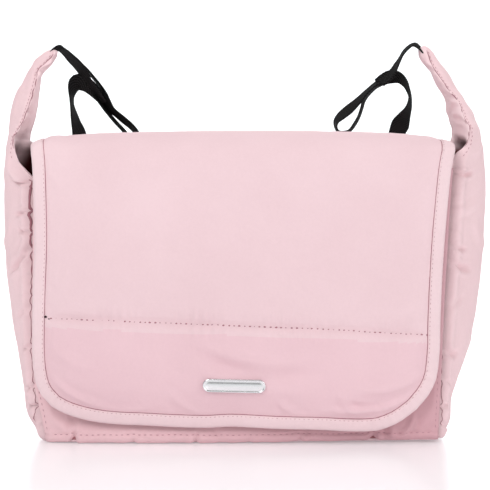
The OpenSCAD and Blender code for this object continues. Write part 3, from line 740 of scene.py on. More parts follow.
    # a dark line where the side meets the front, beside the flap's edge: on the left a dark tube painted as the shadow
    # of the gap behind the flap's binding, on the right the seam line below the flap
    rows = np.where((z > 12) & (z < S.seam_top))[0]
    zr = z[rows]
    first = 30
    seen = 245 + (out[rows, :first, 0] - CX) * K / (1700.0 + out[rows, :first, 1])
    want = pchip(S.seam)(zr) + 0.3 * noise(zr / 9, 0 * zr, seed + 12)
    col = []
    for k in range(len(rows)):
        order = np.argsort(seen[k])
        col.append(np.interp(want[k], seen[k][order], np.arange(first)[order]))
    col = np.clip(np.convolve(np.pad(col, 4, mode="edge"), np.ones(9) / 9, "valid"), 0.6, first - 1)
    i0 = col.astype(int)
    f = (col - i0)[:, None]
    i1 = np.minimum(i0 + 1, first)
    path = out[rows, i0] * (1 - f) + out[rows, i1] * f
    NO = grid_normals(out)
    if (NO[60, 36, 0] > 0) != (S.s > 0):
        NO = -NO
    nn = unit(NO[rows, i0] * (1 - f) + NO[rows, i1] * f)
    T = unit(np.gradient(path, axis=0))
    wide = S.seam_wide(zr) * (1 + 0.45 * noise(zr / 4.5, 0 * zr, seed + 16))
    th = tube(tag + "_front_seam_and_gap_shadow", path + nn * 0.1, unit(np.cross(T, nn)), nn, np.clip(wide, 0.25, 1.6), 0.32, DITCH, "bag", power=2, around=8)
    rows = np.where((z > S.shut[0] - 2) & (z < S.top - 5))[0]
    line = (out[rows, 1] + inn[rows, 1]) / 2
    nrm = unit(unit(out[rows, 1] - out[rows, 4]) + np.array([0, -1.0, 0]))
    wav = 0.5 * noise(z[rows] / 5, 0 * rows, seed + 13)
    line = line + nrm * 0.35 + np.array([1.0, 0, 0]) * wav[:, None]
    th = tube(tag + "_wing_seam_thread", line, unit(np.cross(np.gradient(line, axis=0), nrm)), nrm, 0.42, 0.35, DITCH, "bag", power=2, around=6)
    j = int(np.argmin(np.abs(arc[len(z) // 2] - 4.2)))
    st = stitches(tag + "_wing_stitches", out[rows, 3], NN_at(out, N, rows, 3), THREAD, "bag", 4.4, 2.6, 0.3)
    return ob, out, N


left_folds = [((1, 229), (22, 234), 1.70, -3.90), ((1, 206), (24, 202), 1.87, -3.90), ((2, 185), (20, 189), 1.70, -3.30), ((1, 174), (36, 150), 2.38, -3.90), ((3, 180), (34, 160), 3.6, 1.6),
              ((2, 120), (26, 112), 2.72, -2.40), ((1, 86), (20, 82), 1.87, -3.30), ((1, 51), (18, 46), 1.70, -3.60), ((1, 32), (20, 34), 1.70, -3.90), ((2, 22), (24, 16), 2.21, -2.70),
              ((30, 196), (64, 172), 6, 1.2), ((70, 220), (96, 186), 6, 1.6), ((60, 90), (92, 120), 7, 1.4), ((92, 60), (106, 72), 2.55, -2.40), ((94, 150), (108, 142), 2.55, -2.40), ((90, 30), (106, 40), 2.55, -2.40)]
right_folds = [((1, 238), (26, 239), 1.87, -3.60), ((2, 175), (24, 170), 2.04, -3.30), ((1, 162), (34, 152), 2.72, -3.60), ((3, 204), (40, 214), 4.4, 1.4), ((3, 120), (26, 130), 3.2, -1.4),
               ((2, 82), (24, 76), 3.06, -3.60), ((2, 58), (22, 50), 2.55, -2.40), ((2, 30), (20, 36), 2.21, -3.00), ((2, 16), (22, 12), 2.21, -2.40),
               ((34, 196), (66, 172), 6, 1.2), ((70, 210), (98, 180), 6, 1.6), ((60, 80), (92, 112), 7, 1.4), ((92, 70), (106, 62), 2.55, -2.40), ((94, 130), (108, 140), 2.55, -2.40)]
left_gusset, GL, NL = gusset("left_gusset_cloth", LEFT, 21, left_folds)
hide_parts("left_gusset")
right_gusset, GR, NR = gusset("right_gusset_cloth", RIGHT, 57, right_folds)
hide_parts("right_gusset")


# ------------------------------------------------------------------ front and back panels
TUCKS = [(-149.3, 3.6, 1.9), (-42, 3.0, 0.8), (49.5, 3.0, 0.8), (114.4, 5.0, 1.5), (-96, 3.0, 0.6), (5, 3.0, 0.4)]


def panel(name, pt, outward, top, seed, stitch_z, extra=None):
    z = np.concatenate([np.linspace(0.5, 14, 16), np.linspace(14, top, 120)[1:]])
    u = np.linspace(-1, 1, 200)
    Z, U = np.meshgrid(z, u, indexing="ij")
    P = pt(U, Z, 2.5)
    half = (P[:, -1:, 0] - P[:, :1, 0]) / 2
    side = (1 - np.abs(U)) * half
    d = np.minimum(side, np.minimum(Z, top - Z))
    X = P[..., 0]
    if outward < 0:
        P[..., 1] -= SPREAD(X) * (1 - smooth(0, 26, Z)) * (1 - np.abs(U) ** 8)
    disp = 1.1 * noise(X / 85, Z / 60, seed) * smooth(0, 30, d) + 0.35 * noise(X / 26, Z / 30, seed + 1) * smooth(0, 20, d)
    gx, gz = 0.5 + 0.5 * noise(X / 30, 0 * X, seed + 2), 0.5 + 0.5 * noise(Z / 30, 0 * X + 2, seed + 3)
    disp += 0.75 * gx * np.sin(2 * np.pi * X / (11 + 2.5 * noise(X / 50, 0 * X + 1, seed))) * np.exp(-((Z - stitch_z + 1) / 6) ** 2)
    disp += 0.55 * gz * np.sin(2 * np.pi * Z / 14.0) * np.exp(-((side - 5) / 8) ** 2)
    disp -= 0.9 * np.exp(-((Z - stitch_z) / 1.3) ** 2) + 0.8 * np.exp(-((side - 3.2) / 1.2) ** 2) * smooth(2, 10, Z)
    if extra is not None:
        disp = disp + extra(X, Z)
    edge = pillow(d + 0.2, 5)
    N = grid_normals(P)
    if (N[60, 100, 1] > 0) != (outward > 0):
        N = -N
    loose = settle(P + N * disp[..., None], np.clip((d < 3.5) * 1.0 + np.exp(-((Z - stitch_z) / 1.5) ** 2), 0.02, 1), 0.003 + 0.03 * np.exp(-d / 14), 0.0, bend=3.0, keep=4.0, frames=14)
    disp = ((loose - P) * N).sum(-1)
    out = P + N * (2.5 * edge + disp)[..., None]
    inn = P - N * (2.5 * edge - 0.3)[..., None]
    under = (1 - pillow(Z, 9)) * 3.0
    out[..., 1] -= outward * under
    inn[..., 1] -= outward * under * 0.4
    hem = RISE(X) + 0.35 * noise(X / 9, 0 * X, seed + 8)
    for xt, wt, ht in TUCKS:
        hem = hem + ht * np.exp(-((X - xt) / wt) ** 2)
    for g in (out, inn):
        g[..., 2] += np.maximum(hem, -0.2) * (1 - smooth(0, 42, Z))
        g[..., 2] = np.maximum(g[..., 2], 0.05)
    ob = sheet_mesh(name, out, inn, PINK_FRONT_SHADED if outward < 0 else PINK_SIDE_LIT, "bag", LINING_SHADED)

    def at(x, zz, lift=0.0):
        i = np.interp(zz, z, np.arange(len(z)))
        i0 = np.clip(i.astype(int), 0, len(z) - 2)
        f = (i - i0)[:, None]
        row = out[i0] * (1 - f[..., None]) + out[i0 + 1] * f[..., None]
        y = np.array([np.interp(a, r[:, 0], r[:, 1]) for a, r in zip(x, row)])
        up = np.array([np.interp(a, r[:, 0], r[:, 2]) for a, r in zip(x, row)])
        return np.stack([x, y + outward * lift, up], 1)

    return ob, at


def front_extra(X, Z):
    e = 0
    for xt, wt, ht in TUCKS:
        e = e - 3.2 * ht * np.exp(-((X - xt - 0.12 * Z) / (wt * 0.6)) ** 2) * np.exp(-((Z / 8.0) ** 2)) + 1.1 * ht * np.exp(-((X - xt - 5) / 3.5) ** 2) * np.exp(-((Z / 9.0) ** 2))
    e = e + fold(X, Z, (-158, 1), (-150, 30), 3.5, -1.6) + fold(X, Z, (128, 0), (112, 26), 4.0, -2.6) + fold(X, Z, (140, 2), (150, 24), 3.0, 1.6)
    e = e + fold(X, Z, (-172, 30), (-150, 8), 4.0, 1.5) + fold(X, Z, (160, 12), (168, 60), 5, 1.2) + fold(X, Z, (60, 0), (52, 14), 4, -1.0) + fold(X, Z, (-20, 0), (-30, 14), 4, -1.0)
    return e


front_panel, front_at = panel("front_panel_cloth", front_pt, -1, 242, 5, 7.0, front_extra)
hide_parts("front_panel")
back_panel, back_at = panel("back_panel_cloth", back_pt, 1, 262, 91, 9.0)
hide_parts("back_panel")

xs = np.linspace(-168, 166, 240)
zs = 7.0 + 0.4 * noise(xs / 40, 0 * xs, 3)
nn = np.tile([0, -1.0, 0.1], (len(xs), 1))
stitches("front_hem_stitches", front_at(xs, zs, -0.2), nn, THREAD, "bag", 5.2, 3.2, 0.40)
zz = np.linspace(10, 236, 200)
for tag, xf, s in (("left", xfl, 1), ("right", xfr, -1)):
    stitches(f"front_{tag}_seam_stitches", front_at(xf(zz) + s * 3.2, zz, -0.2), np.tile([0, -1.0, 0], (len(zz), 1)), THREAD, "bag", 5.4, 3.2, 0.38)
xs = np.linspace(-166, 164, 240)
stitches("back_hem_stitches", back_at(xs, 0 * xs + 9.0, -0.2), np.tile([0, 1.0, 0.1], (len(xs), 1)), THREAD, "bag", 5.2, 3.2, 0.40)


# ------------------------------------------------------------------ bottom panel
def bottom():
    u = np.linspace(-1, 1, 120)
    y = np.linspace(0, 1, 44)
    Y, U = np.meshgrid(y, u, indexing="ij")
    fr, bk = front_pt(U, 0 * U, 1.0), back_pt(U, 0 * U, 1.0)
    fr[..., 1] -= SPREAD(fr[..., 0]) * (1 - np.abs(U) ** 8)
    P = fr * (1 - Y[..., None]) + bk * Y[..., None]
    belly = 4 * Y * (1 - Y)
    P[..., 0] += np.sign(U) * np.abs(U) ** 6 * belly * 8
    d = np.minimum(np.minimum(Y, 1 - Y) * 104, (1 - np.abs(U)) * 175)
    lift = 1.6 * (1 - pillow(d, 7))
    wave = 0.25 * noise(P[..., 0] / 30, P[..., 1] / 22, 8)
    out, inn = P.copy(), P.copy()
    out[..., 2] = np.maximum(lift + 0.15 + wave * 0.4 + RISE(P[..., 0]) * 0.5, 0.02)
    inn[..., 2] = out[..., 2] + 3.2 * pillow(d + 0.2, 5)
    ob = sheet_mesh("bottom_panel_cloth", out, inn, PINK, "bag", LINING_SHADED)
    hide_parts("bottom_panel")


bottom()


# ------------------------------------------------------------------ lining, pockets and mouth
def ring(z, inset, n=(110, 40, 110, 40)):
    """The bag's inner outline at one height, moved in by inset."""
    u = np.linspace(-1, 1, n[0])
    a = front_pt(u * 0.975, np.full(n[0], z), -inset)[:, :2]
    v = np.linspace(0, 1, n[1] + 2)[1:-1]
    r = RIGHT.xy(np.full(n[1], z), v) + np.stack([np.full(n[1], -4.0 - inset), np.zeros(n[1])], 1)
    b = back_pt(-u * 0.975, np.full(n[0], min(z, 260)), -inset)[:, :2]
    l = LEFT.xy(np.full(n[3], z), v[::-1]) + np.stack([np.full(n[3], 4.0 + inset), np.zeros(n[3])], 1)
    lo, hi = yf(z) + inset + 1, yb(z) - inset - 1
    r[:, 1], l[:, 1] = np.clip(r[:, 1], lo, hi), np.clip(l[:, 1], lo, hi)
    return np.vstack([a, r, b, l])


def lining():
    zl = np.concatenate([[9.0, 9.0, 9.0, 9.2], np.linspace(11, 234, 60)])
    rows = []
    for k, z in enumerate(zl):
        R = ring(max(z, 9.0), 4.5)
        c = R.mean(0)
        s = [0.02, 0.45, 0.90, 0.975][k] if k < 4 else 1.0
        R = c + (R - c) * s
        rows.append(np.concatenate([R, np.full((len(R), 1), z)], 1))
    P = np.array(rows)
    ang = np.arange(P.shape[1])[None] * 1.0
    Z = P[..., 2]
    c = P[4:].mean((0, 1))
    rad = unit(P[..., :2] - c[:2])
    w = smooth(9, 30, Z) * (1 - 0.7 * smooth(200, 234, Z))
    wob = (1.3 * noise(ang / 13, Z / 60, 31) + 0.8 * noise(ang / 6, Z / 36, 32)) * w
    P[..., :2] -= rad * (1.6 * w + np.abs(wob))[..., None]
    inner = P.copy()
    inner[..., :2] -= rad * 0.6
    inner[:4, :, 2] += 0.6
    ob = sheet_mesh("lining_cloth", P, inner, LINING_SHADED, "bag", LINING_SHADED, wrap=True)
    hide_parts("lining")


lining()


def pockets():
    x = np.linspace(-141, 139, 200)
    z = np.linspace(10.5, 149, 50)
    Z, X = np.meshgrid(z, x, indexing="ij")
    c = np.abs(np.sin(np.pi * (X + 141) / 93.333))
    back = yb(Z) + bulge_b(Z) * dome(X / 188) - 8.5
    full = 3.0 + 9.0 * c**0.6 * smooth(10, 40, Z) * (1 - 0.3 * smooth(110, 149, Z))
    top = smooth(128, 149, Z)
    ruffle = 0.9 * np.sin(2 * np.pi * X / 9 + 2 * noise(X / 25, Z / 60, 3)) * top + 0.8 * noise(X / 14, Z / 30, 41)
    Y = back - full + ruffle
    out = np.stack([X, Y, Z], -1)
    inn = out + np.array([0, 0.9, 0])
    ob = sheet_mesh("bottle_pocket_cloth", out, inn, LINING_SHADED, "bag", LINING_SHADED)
    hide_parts("bottle_pockets")
    zt = 143.0
    yt = np.array([np.interp(zt, z, Y[:, k]) for k in range(len(x))])
    path = np.stack([x, yt - 0.9, 0 * x + zt], 1)
    el = tube("pocket_elastic_band", path, np.tile([0, 0, 1.0], (len(x), 1)), np.tile([0, -1.0, 0], (len(x), 1)), 6.0, 0.8, ELASTIC, "bag", power=6)
    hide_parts("pocket_elastic")
    for k, xx in enumerate((-47.7, 45.7)):
        zz2 = np.linspace(14, 134, 60)
        yy = np.array([np.interp(xx, x, [np.interp(q, z, Y[:, j]) for j in range(len(x))]) for q in zz2])
        stitches(f"pocket_divider_stitches_{k}", np.stack([0 * zz2 + xx, yy - 0.1, zz2], 1), np.tile([0, -1.0, 0], (60, 1)), THREAD, "bag", 4.5, 2.8, 0.35)


pockets()


def mouth():
    u = np.linspace(-0.985, 0.985, 160)
    P = front_pt(u, np.full(160, 241.5), 2.0)
    P[:, 2] += 0.5 * noise(P[:, 0] / 30, 0, 9)
    P[:, 1] += 0.6 * noise(P[:, 0] / 22, 1, 9)
    ob = tube("mouth_binding_cloth", P, np.tile([0, 0, 1.0], (160, 1)), np.tile([0, -1.0, 0], (160, 1)), 4.6, 3.1, BIND, "bag", power=3)
    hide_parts("mouth_binding")
    Q = P.copy(); Q[:, 1] -= 3.0; Q[:, 2] -= 2.6
    stitches("mouth_binding_stitches", Q, np.tile([0, -1.0, 0], (160, 1)), THREAD, "bag", 4.6, 3.0, 0.35)


mouth()


# ------------------------------------------------------------------ flap
# The flap's outline on its own unrolled sheet: x across, s up the front and then over the top to the back seam.
S_FOLD, S_END = 236.0, 372.0
left_edge = [(-182.5, S_END), (-184, 350), (-186.4, 320), (-188.3, 290), (-187.4, 264), (-185.4, 240), (-183.8, 204), (-183.2, 170), (-184.4, 130), (-184.8, 100), (-184.9, 84), (-183.3, 62), (-178.6, 46), (-168, 33)]
bottom_edge = [(-168, 33), (-158, 27.6), (-146.5, 23.4), (-128.5, 19.4), (-108, 17.4), (-86.9, 16.6), (-60, 15.2), (-31.7, 14.6), (-12, 15.6), (5.7, 14.9), (30, 13.6), (66.6, 12.6), (92, 11.2), (111.8, 11.4), (122, 13.2), (136, 19.2), (151, 30)]
right_edge = [(182.5, S_END), (184, 350), (185.6, 320), (186.4, 290), (186.5, 264), (183.6, 245), (181.5, 231), (176.9, 187), (174.2, 152), (172.4, 115), (172, 100), (171.6, 82), (168.6, 58), (162, 43.5), (151, 30)]
# height of the quilting line across the flap, and then of the crest
QUILT = pchip([[-188, 111.4], [-174.3, 110.5], [1.4, 103.6], [162.2, 95.7], [188, 94.4]])


CROWN = pchip([[-188, 263.4], [-183.5, 264.4], [-178.5, 267.2], [-172, 269.6], [-160, 270.4], [-132, 271.6], [-88, 273.0], [-40, 273.6], [0, 273.7], [60, 273.6], [100, 272.8],
               [138, 271.4], [158, 269.8], [168, 268.6], [176, 266.6], [182, 264.4], [188, 263.4]])


def flap_y(x, z):
    """Middle of the flap's thickness where it hangs in front."""
    xx = np.clip(x, xfl(z), xfr(z))
    return fo(xx, z) - 5.4 - 3.5


def flap_mid(x, s):
    x, s = np.broadcast_arrays(np.asarray(x, float), np.asarray(s, float))
    zf = np.minimum(s, S_FOLD)
    front = np.stack([x, flap_y(x, zf), zf], -1)
    a = np.stack([flap_y(x, np.full_like(x, S_FOLD)), np.full_like(x, S_FOLD)], -1)
    slope = flap_y(x, np.full_like(x, S_FOLD)) - flap_y(x, np.full_like(x, S_FOLD - 2))
    ta = np.stack([slope / 2, np.ones_like(x)], -1)
    zc = CROWN(x)
    b = np.stack([np.full_like(x, -8.0), zc], -1)
    c = np.stack([np.full_like(x, 51.0), 264.0 + 0.35 * (zc - 264.0)], -1)
    tb = np.array([1.0, 0.0])
    tcn = np.array([0.93, -0.36])
    q = np.clip((s - S_FOLD) / (S_END - S_FOLD), 0, 1)
    k = 0.56
    t = np.clip(q / k, 0, 1)[..., None]
    h = 1 - t
    sq = smooth(150, 187, np.abs(x))[..., None]
    seg1 = h**3 * a + 3 * h * h * t * (a + ta * (22 + 6 * sq)) + 3 * h * t * t * (b - tb * (32 + 20 * sq)) + t**3 * b
    t = np.clip((q - k) / (1 - k), 0, 1)[..., None]
    h = 1 - t
    seg2 = h**3 * b + 3 * h * h * t * (b + tb * 20) + 3 * h * t * t * (c - tcn * 20) + t**3 * c
    top = np.where((q < k)[..., None], seg1, seg2)
    P = front.copy()
    over = s > S_FOLD
    P[..., 1] = np.where(over, top[..., 0], front[..., 1])
    P[..., 2] = np.where(over, top[..., 1], front[..., 2])
    return P


def outline():
    a = spline(left_edge, 260)
    b = spline(bottom_edge, 220)
    c = spline(right_edge, 260)[::-1]
    return np.vstack([a, b[1:], c[1:]])


OUT = outline()


def edge_distance(x, s):
    """Distance on the unrolled sheet from the bound edges."""
    shape = np.shape(x)
    p = np.stack([np.ravel(x), np.ravel(s)], 1)
    best = np.full(len(p), 1e9)
    for k in range(0, len(OUT) - 1, 2):
        a, b = OUT[k], OUT[min(k + 2, len(OUT) - 1)]
        d = b - a
        t = np.clip(((p - a) @ d) / (d @ d), 0, 1)
        best = np.minimum(best, ((p - a - t[:, None] * d) ** 2).sum(1))
    return np.sqrt(best).reshape(shape)


def flap_disp(x, s, d):
    """How far the padded face stands off, in mm, beyond its even thickness."""
    q = QUILT(x)
    lower = smooth(q + 1, q - 16, s) if False else 1 - smooth(q - 16, q - 1, s)
    e = smooth(11, 34, d)
    disp = 0.9 * noise(x / 95 + 2, s / 80, 71) * e + 0.45 * noise(x / 42, s / 36, 72) * e
    # the lower, separately quilted field puffs out under the stitch line
    below = np.clip((q - s) / 90.0, 0, 1)
    disp += 3.4 * np.sin(np.pi * np.clip(below * 1.02, 0, 1)) ** 0.7 * e * (s < q)
    above = np.clip((s - q) / 60.0, 0, 1)
    disp += 1.5 * np.sin(np.pi * above) ** 0.8 * e * (s > q) * (s < q + 60)
    # quilting line, with the small puckers beside it
    dq = s - q
    puck = 0.5 + 0.5 * noise(x / 38, 0 * x, 73)
    disp -= 1.7 * np.exp(-(dq / 1.9) ** 2) + 0.8 * np.exp(-((dq - 2.0) / 5.0) ** 2)
    disp += 1.5 * smooth(0.5, 7.5, -dq) * np.exp(-np.clip(-dq, 0, 99) / 60)
    disp += 0.85 * puck * np.sin(2 * np.pi * x / (9.5 + 2.2 * noise(x / 60, 0 * x, 74)) + 0.9 * noise(x / 20, s / 20, 75)) * np.exp(-((np.abs(dq) - 5) / 6) ** 2)
    # soft dimples and the drag lines from the corners
    disp += fold(x, s, (-42, 80), (64, 62), 7, -2.3) + fold(x, s, (-30, 72), (30, 74), 6, -1.1) + fold(x, s, (-46, 90), (60, 72), 5, 0.9)
    disp += fold(x, s, (76, 30), (152, 42), 3.2, 3.0) + fold(x, s, (100, 47), (160, 62), 4, 1.8) + fold(x, s, (66, 23), (120, 31), 2.8, -1.8) + fold(x, s, (92, 36), (128, 37), 2.6, -1.2)
    disp += fold(x, s, (-168, 58), (-122, 34), 3.4, 2.2) + fold(x, s, (-140, 36), (-84, 31), 3.0, 2.0) + fold(x, s, (-120, 28), (-88, 26), 2.6, -1.2) + fold(x, s, (-166, 84), (-128, 66), 5, 1.0)
    disp += fold(x, s, (30, 40), (56, 21), 3.2, 1.8) + fold(x, s, (84, 44), (104, 22), 3.2, 1.3) + fold(x, s, (-64, 46), (-30, 24), 4.0, 1.2)
    disp += fold(x, s, (-176, 128), (-120, 116), 6, 0.8) + fold(x, s, (120, 112), (168, 122), 6, 0.9)
    disp += fold(x, s, (176, 236), (150, 226), 5, 0.9) + fold(x, s, (-176, 240), (-158, 226), 5, 0.8) + fold(x, s, (120, 224), (168, 200), 9, 0.5)
    # gathers where the face is sewn into the binding
    along = x * 0.8 + s * 0.9
    disp += 0.28 * np.sin(2 * np.pi * along / 9 + 2 * noise(x / 20, s / 20, 76)) * np.exp(-((d - 15) / 5.5) ** 2) * (0.4 + 0.6 * noise(x / 30, s / 30, 77) ** 2)
    disp *= smooth(9.5, 20, d)
    disp -= 0.5 * np.exp(-((d - 11.4) / 1.1) ** 2)
    return disp


def flap_normals(x, s):
    e = 0.4
    du = flap_mid(x + e, s) - flap_mid(x - e, s)
    dv = flap_mid(x, s + e) - flap_mid(x, s - e)
    sign = np.where(np.asarray(s) >= S_END - e, 1.0, 1.0)
    return unit(np.cross(du, dv)) * sign[..., None]


def flap_face(x, s, lift=0.0):
    d = edge_distance(x, s)
    t = 3.5 * (0.45 + 0.55 * pillow(np.clip(d - 10.5, 0, None), 14))
    N = flap_normals(x, s)
    return flap_mid(x, s) + N * (t + flap_disp(x, s, d) + lift)[..., None], N


FACE = {}


def flap():
    n, m = 176, 184
    a = np.linspace(0, 1, n)
    b = np.linspace(0, 1, m)
    L, R = spline(left_edge, n), spline(right_edge, n)
    top = np.stack([-182.5 + 365 * b, np.full(m, S_END)], 1)
    bot = spline(bottom_edge, m)
    A, B = a[:, None, None], b[None, :, None]
    G = ((1 - B) * L[:, None] + B * R[:, None] + (1 - A) * top[None] + A * bot[None]
         - ((1 - A) * (1 - B) * top[0] + (1 - A) * B * top[-1] + A * (1 - B) * bot[0] + A * B * bot[-1]))
    x, s = G[..., 0], G[..., 1]
    out, N = flap_face(x, s)
    d = edge_distance(x, s)
    quilt = np.exp(-((s - QUILT(x)) / 1.3) ** 2)
    hold = np.clip(np.maximum((d < 11.6) * 1.0, quilt), 0.02, 1)
    near = np.minimum(np.clip(d - 11, 0, 99), np.abs(s - QUILT(x)))
    out = settle(out, hold, 0.003 + 0.028 * np.exp(-near / 14), 0.0, bend=3.0)
    t = 3.5 * (0.35 + 0.65 * pillow(d, 12))
    FACE.update(x=x, s=s, P=out)
    mid = flap_mid(x, s)
    inn = mid - N * (t - 0.9)[..., None]
    V0, F0, n0 = slab(out, inn)
    fm = np.zeros(len(F0), int)
    # faces more than 7 mm below the quilting line take the darker pink, as painted shade
    fm[:n0] = ((s - QUILT(x))[:-1, :-1] < -7).ravel() * 2
    fm[n0:2 * n0] = 1
    uv = cloth_uv(out)
    cover = mesh("flap_cover_cloth", V0, F0, PINK, None, np.vstack([uv, uv]), [PINK, LINING_SHADED, PINK_LOWER_SHADED], fm)
    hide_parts("flap_top_cover", "flap_front_cover", "flap_top_foam", "flap_front_foam")
    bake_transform(cover)
    t = t - 1.25 * (1 - smooth(10.2, 14.0, d))
    o2 = mid - N * (t - 0.7)[..., None]
    i2 = mid - N * (t + 0.1 - 0.35 * noise(x / 30, s / 34, 81) * smooth(12, 30, d))[..., None]
    lin = sheet_mesh("flap_lining_cloth", o2, i2, LINING_SHADED, None, LINING_SHADED)
    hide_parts("flap_top_lining", "flap_front_lining")
    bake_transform(lin)


flap()


def binding():
    k = np.linspace(0, len(OUT) - 1, 560)
    P = np.stack([np.interp(k, np.arange(len(OUT)), OUT[:, j]) for j in (0, 1)], 1)
    T = unit(np.gradient(P, axis=0))
    inward = np.stack([-T[:, 1], T[:, 0]], 1)
    if (inward[10] @ np.array([1.0, 0])) < 0:
        inward = -inward
    C = P + inward * 5.6
    mid = flap_mid(C[:, 0], C[:, 1])
    N = flap_normals(C[:, 0], C[:, 1])
    i2 = flap_mid(C[:, 0] + inward[:, 0], C[:, 1] + inward[:, 1])
    side = unit(i2 - mid)
    L = np.concatenate([[0], np.cumsum(np.sqrt((np.diff(mid, axis=0) ** 2).sum(1)))])
    # a little gathering round the two corners
    bend = np.abs(np.gradient(np.unwrap(np.arctan2(T[:, 1], T[:, 0]))) / np.maximum(np.gradient(L), 1e-6))
    bend = np.convolve(bend, np.ones(15) / 15, "same")
    rip = np.clip(bend / 0.017, 0, 1)
    wob = (0.16 + 0.34 * rip) * np.sin(2 * np.pi * L / 7.5 + 1.5 * noise(L / 20, 0, 5)) + 0.25 * noise(L / 30, 1, 6)
    mid = mid + N * (0.25 + 0.5 * wob)[:, None]
    ob = tube("flap_binding_cloth", mid, side, N, 5.75 + 0.12 * wob, 3.15 + 0.22 * wob, BIND, None, power=2.9, around=24)
    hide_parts("flap_top_binding", "flap_front_binding")
    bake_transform(ob)
    Q = P + inward * 11.3
    F, _ = flap_face(Q[:, 0], Q[:, 1], 0.0)
    M2 = flap_mid(Q[:, 0], Q[:, 1])
    ditch = M2 + N * np.maximum(((F - M2) * N).sum(1), 1.2)[:, None] + N * 0.12
    th = tube("flap_seam_thread", ditch, side, N, 0.34, 0.25, DITCH, None, power=2, around=6)
    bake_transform(th)
    Q = P + inward * 9.6
    M2 = flap_mid(Q[:, 0], Q[:, 1])
    st = stitches("flap_binding_stitches", M2 + N * (2.72 + 0.5 * wob)[:, None], N, THREAD, None, 3.9, 2.3, 0.26, lift=0.05)
    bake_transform(st)


binding()


def needle_holes(name, P, N, r0, body, mat=None):
    """Small dark dots where a thread goes down into the padding; their dark colour is painted shade of the needle
    holes.
    """
    V, F = [], []
    for i, (p, n) in enumerate(zip(P, N)):
        r = r0 * (0.75 + 0.35 * float(noise(i * 1.7, 5.0, 19)))
        t = unit(np.cross(n, [0, 0, 1.0])[None])[0]
        b = np.cross(n, t)
        base = len(V)
        for rr, h in ((r, -0.25), (r, 0.05), (r * 0.6, 0.22), (0.02, 0.28)):
            for g in range(8):
                w = g * math.pi / 4
                V.append(p + n * h + t * rr * 1.35 * math.cos(w) + b * rr * math.sin(w))
        for u in range(3):
            for g in range(8):
                F.append((base + u * 8 + g, base + u * 8 + (g + 1) % 8, base + u * 8 + 8 + (g + 1) % 8, base + u * 8 + 8 + g))
        F.append(tuple(base + g for g in range(7, -1, -1)))
        F.append(tuple(base + 24 + g for g in range(8)))
    return mesh(name, np.array(V), F, mat or DITCH, body)


def on_face(x, s):
    """Points of the settled flap face at the given places on the sheet."""
    gx, gs, G = FACE["x"], FACE["s"], FACE["P"]
    out = []
    for a, b in zip(x, s):
        k = np.argmin((gx[1:-1, 1:-1] - a) ** 2 + (gs[1:-1, 1:-1] - b) ** 2)
        i, j = k // (gx.shape[1] - 2) + 1, k % (gx.shape[1] - 2) + 1
        J = np.array([[gx[i, j + 1] - gx[i, j - 1], gx[i + 1, j] - gx[i - 1, j]], [gs[i, j + 1] - gs[i, j - 1], gs[i + 1, j] - gs[i - 1, j]]])
        u = np.linalg.solve(J, [a - gx[i, j], b - gs[i, j]])
        out.append(G[i, j] + u[0] * (G[i, j + 1] - G[i, j - 1]) + u[1] * (G[i + 1, j] - G[i - 1, j]))
    return np.array(out)


DARK_DOT = fabric("dark_thread", (0.060, 0.030, 0.036), (0.040, 0.020, 0.024), weave=0.0004, rough=0.7, sheen=0.0)


def quilting():
    x = np.arange(-167.5, 160.5, 4.55)
    k = np.arange(len(x))
    x = x + 0.7 * noise(k * 0.8, 0 * x, 12)
    s = QUILT(x) + 0.5 * noise(x / 30, 0 * x, 88)
    NN = flap_normals(x, s)
    # dark dots along the quilting line, painted shade of the needle holes
    q = needle_holes("flap_quilting_hole_shade_dots", on_face(x, s) + NN * 0.3, NN, 0.82, "flap_front")
    x = np.array([-172.6, -169.6])
    s = QUILT(x) + np.array([0.8, -0.9])
    NN = flap_normals(x, s)
    q = needle_holes("flap_quilting_knot", on_face(x, s) + NN * 0.45, NN, 1.2, "flap_front", DARK_DOT)


quilting()


def back_strip():
    """The doubled cloth that joins the flap to the back panel's top edge."""
    u = np.linspace(-1, 1, 120)
    pts = np.array([[57.2, 244], [56.6, 254], [55.4, 262], [53.0, 267.5], [48.5, 270.2], [42, 271.8]])
    prof = spline(pts, 18)
    out = np.zeros((18, 120, 3))
    for i, (y, z) in enumerate(prof):
        w = 184.5 - 1.5 * i / 17
        out[i, :, 0] = u * w + (0.5 if i < 9 else 0)
        lift = 2.2 * (1 - np.abs(u) ** 4) * (z - 262) / 8 * (z > 262)
        out[i, :, 1] = y + 0.35 * noise(u * 9, i / 5.0, 61) + (-0.6 if z > 262 else 0)
        out[i, :, 2] = z + lift * 0.6
    N = grid_normals(out)
    if N[3, 60, 1] < 0:
        N = -N
    ob = sheet_mesh("back_seam_cloth", out + N * 1.2, out - N * 0.9, PINK, None, LINING_SHADED)
    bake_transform(ob)
    P = out[4] + N[4] * 1.35
    stitches("back_seam_stitches", P, N[4], THREAD, "bag", 4.8, 3.0, 0.36)


back_strip()


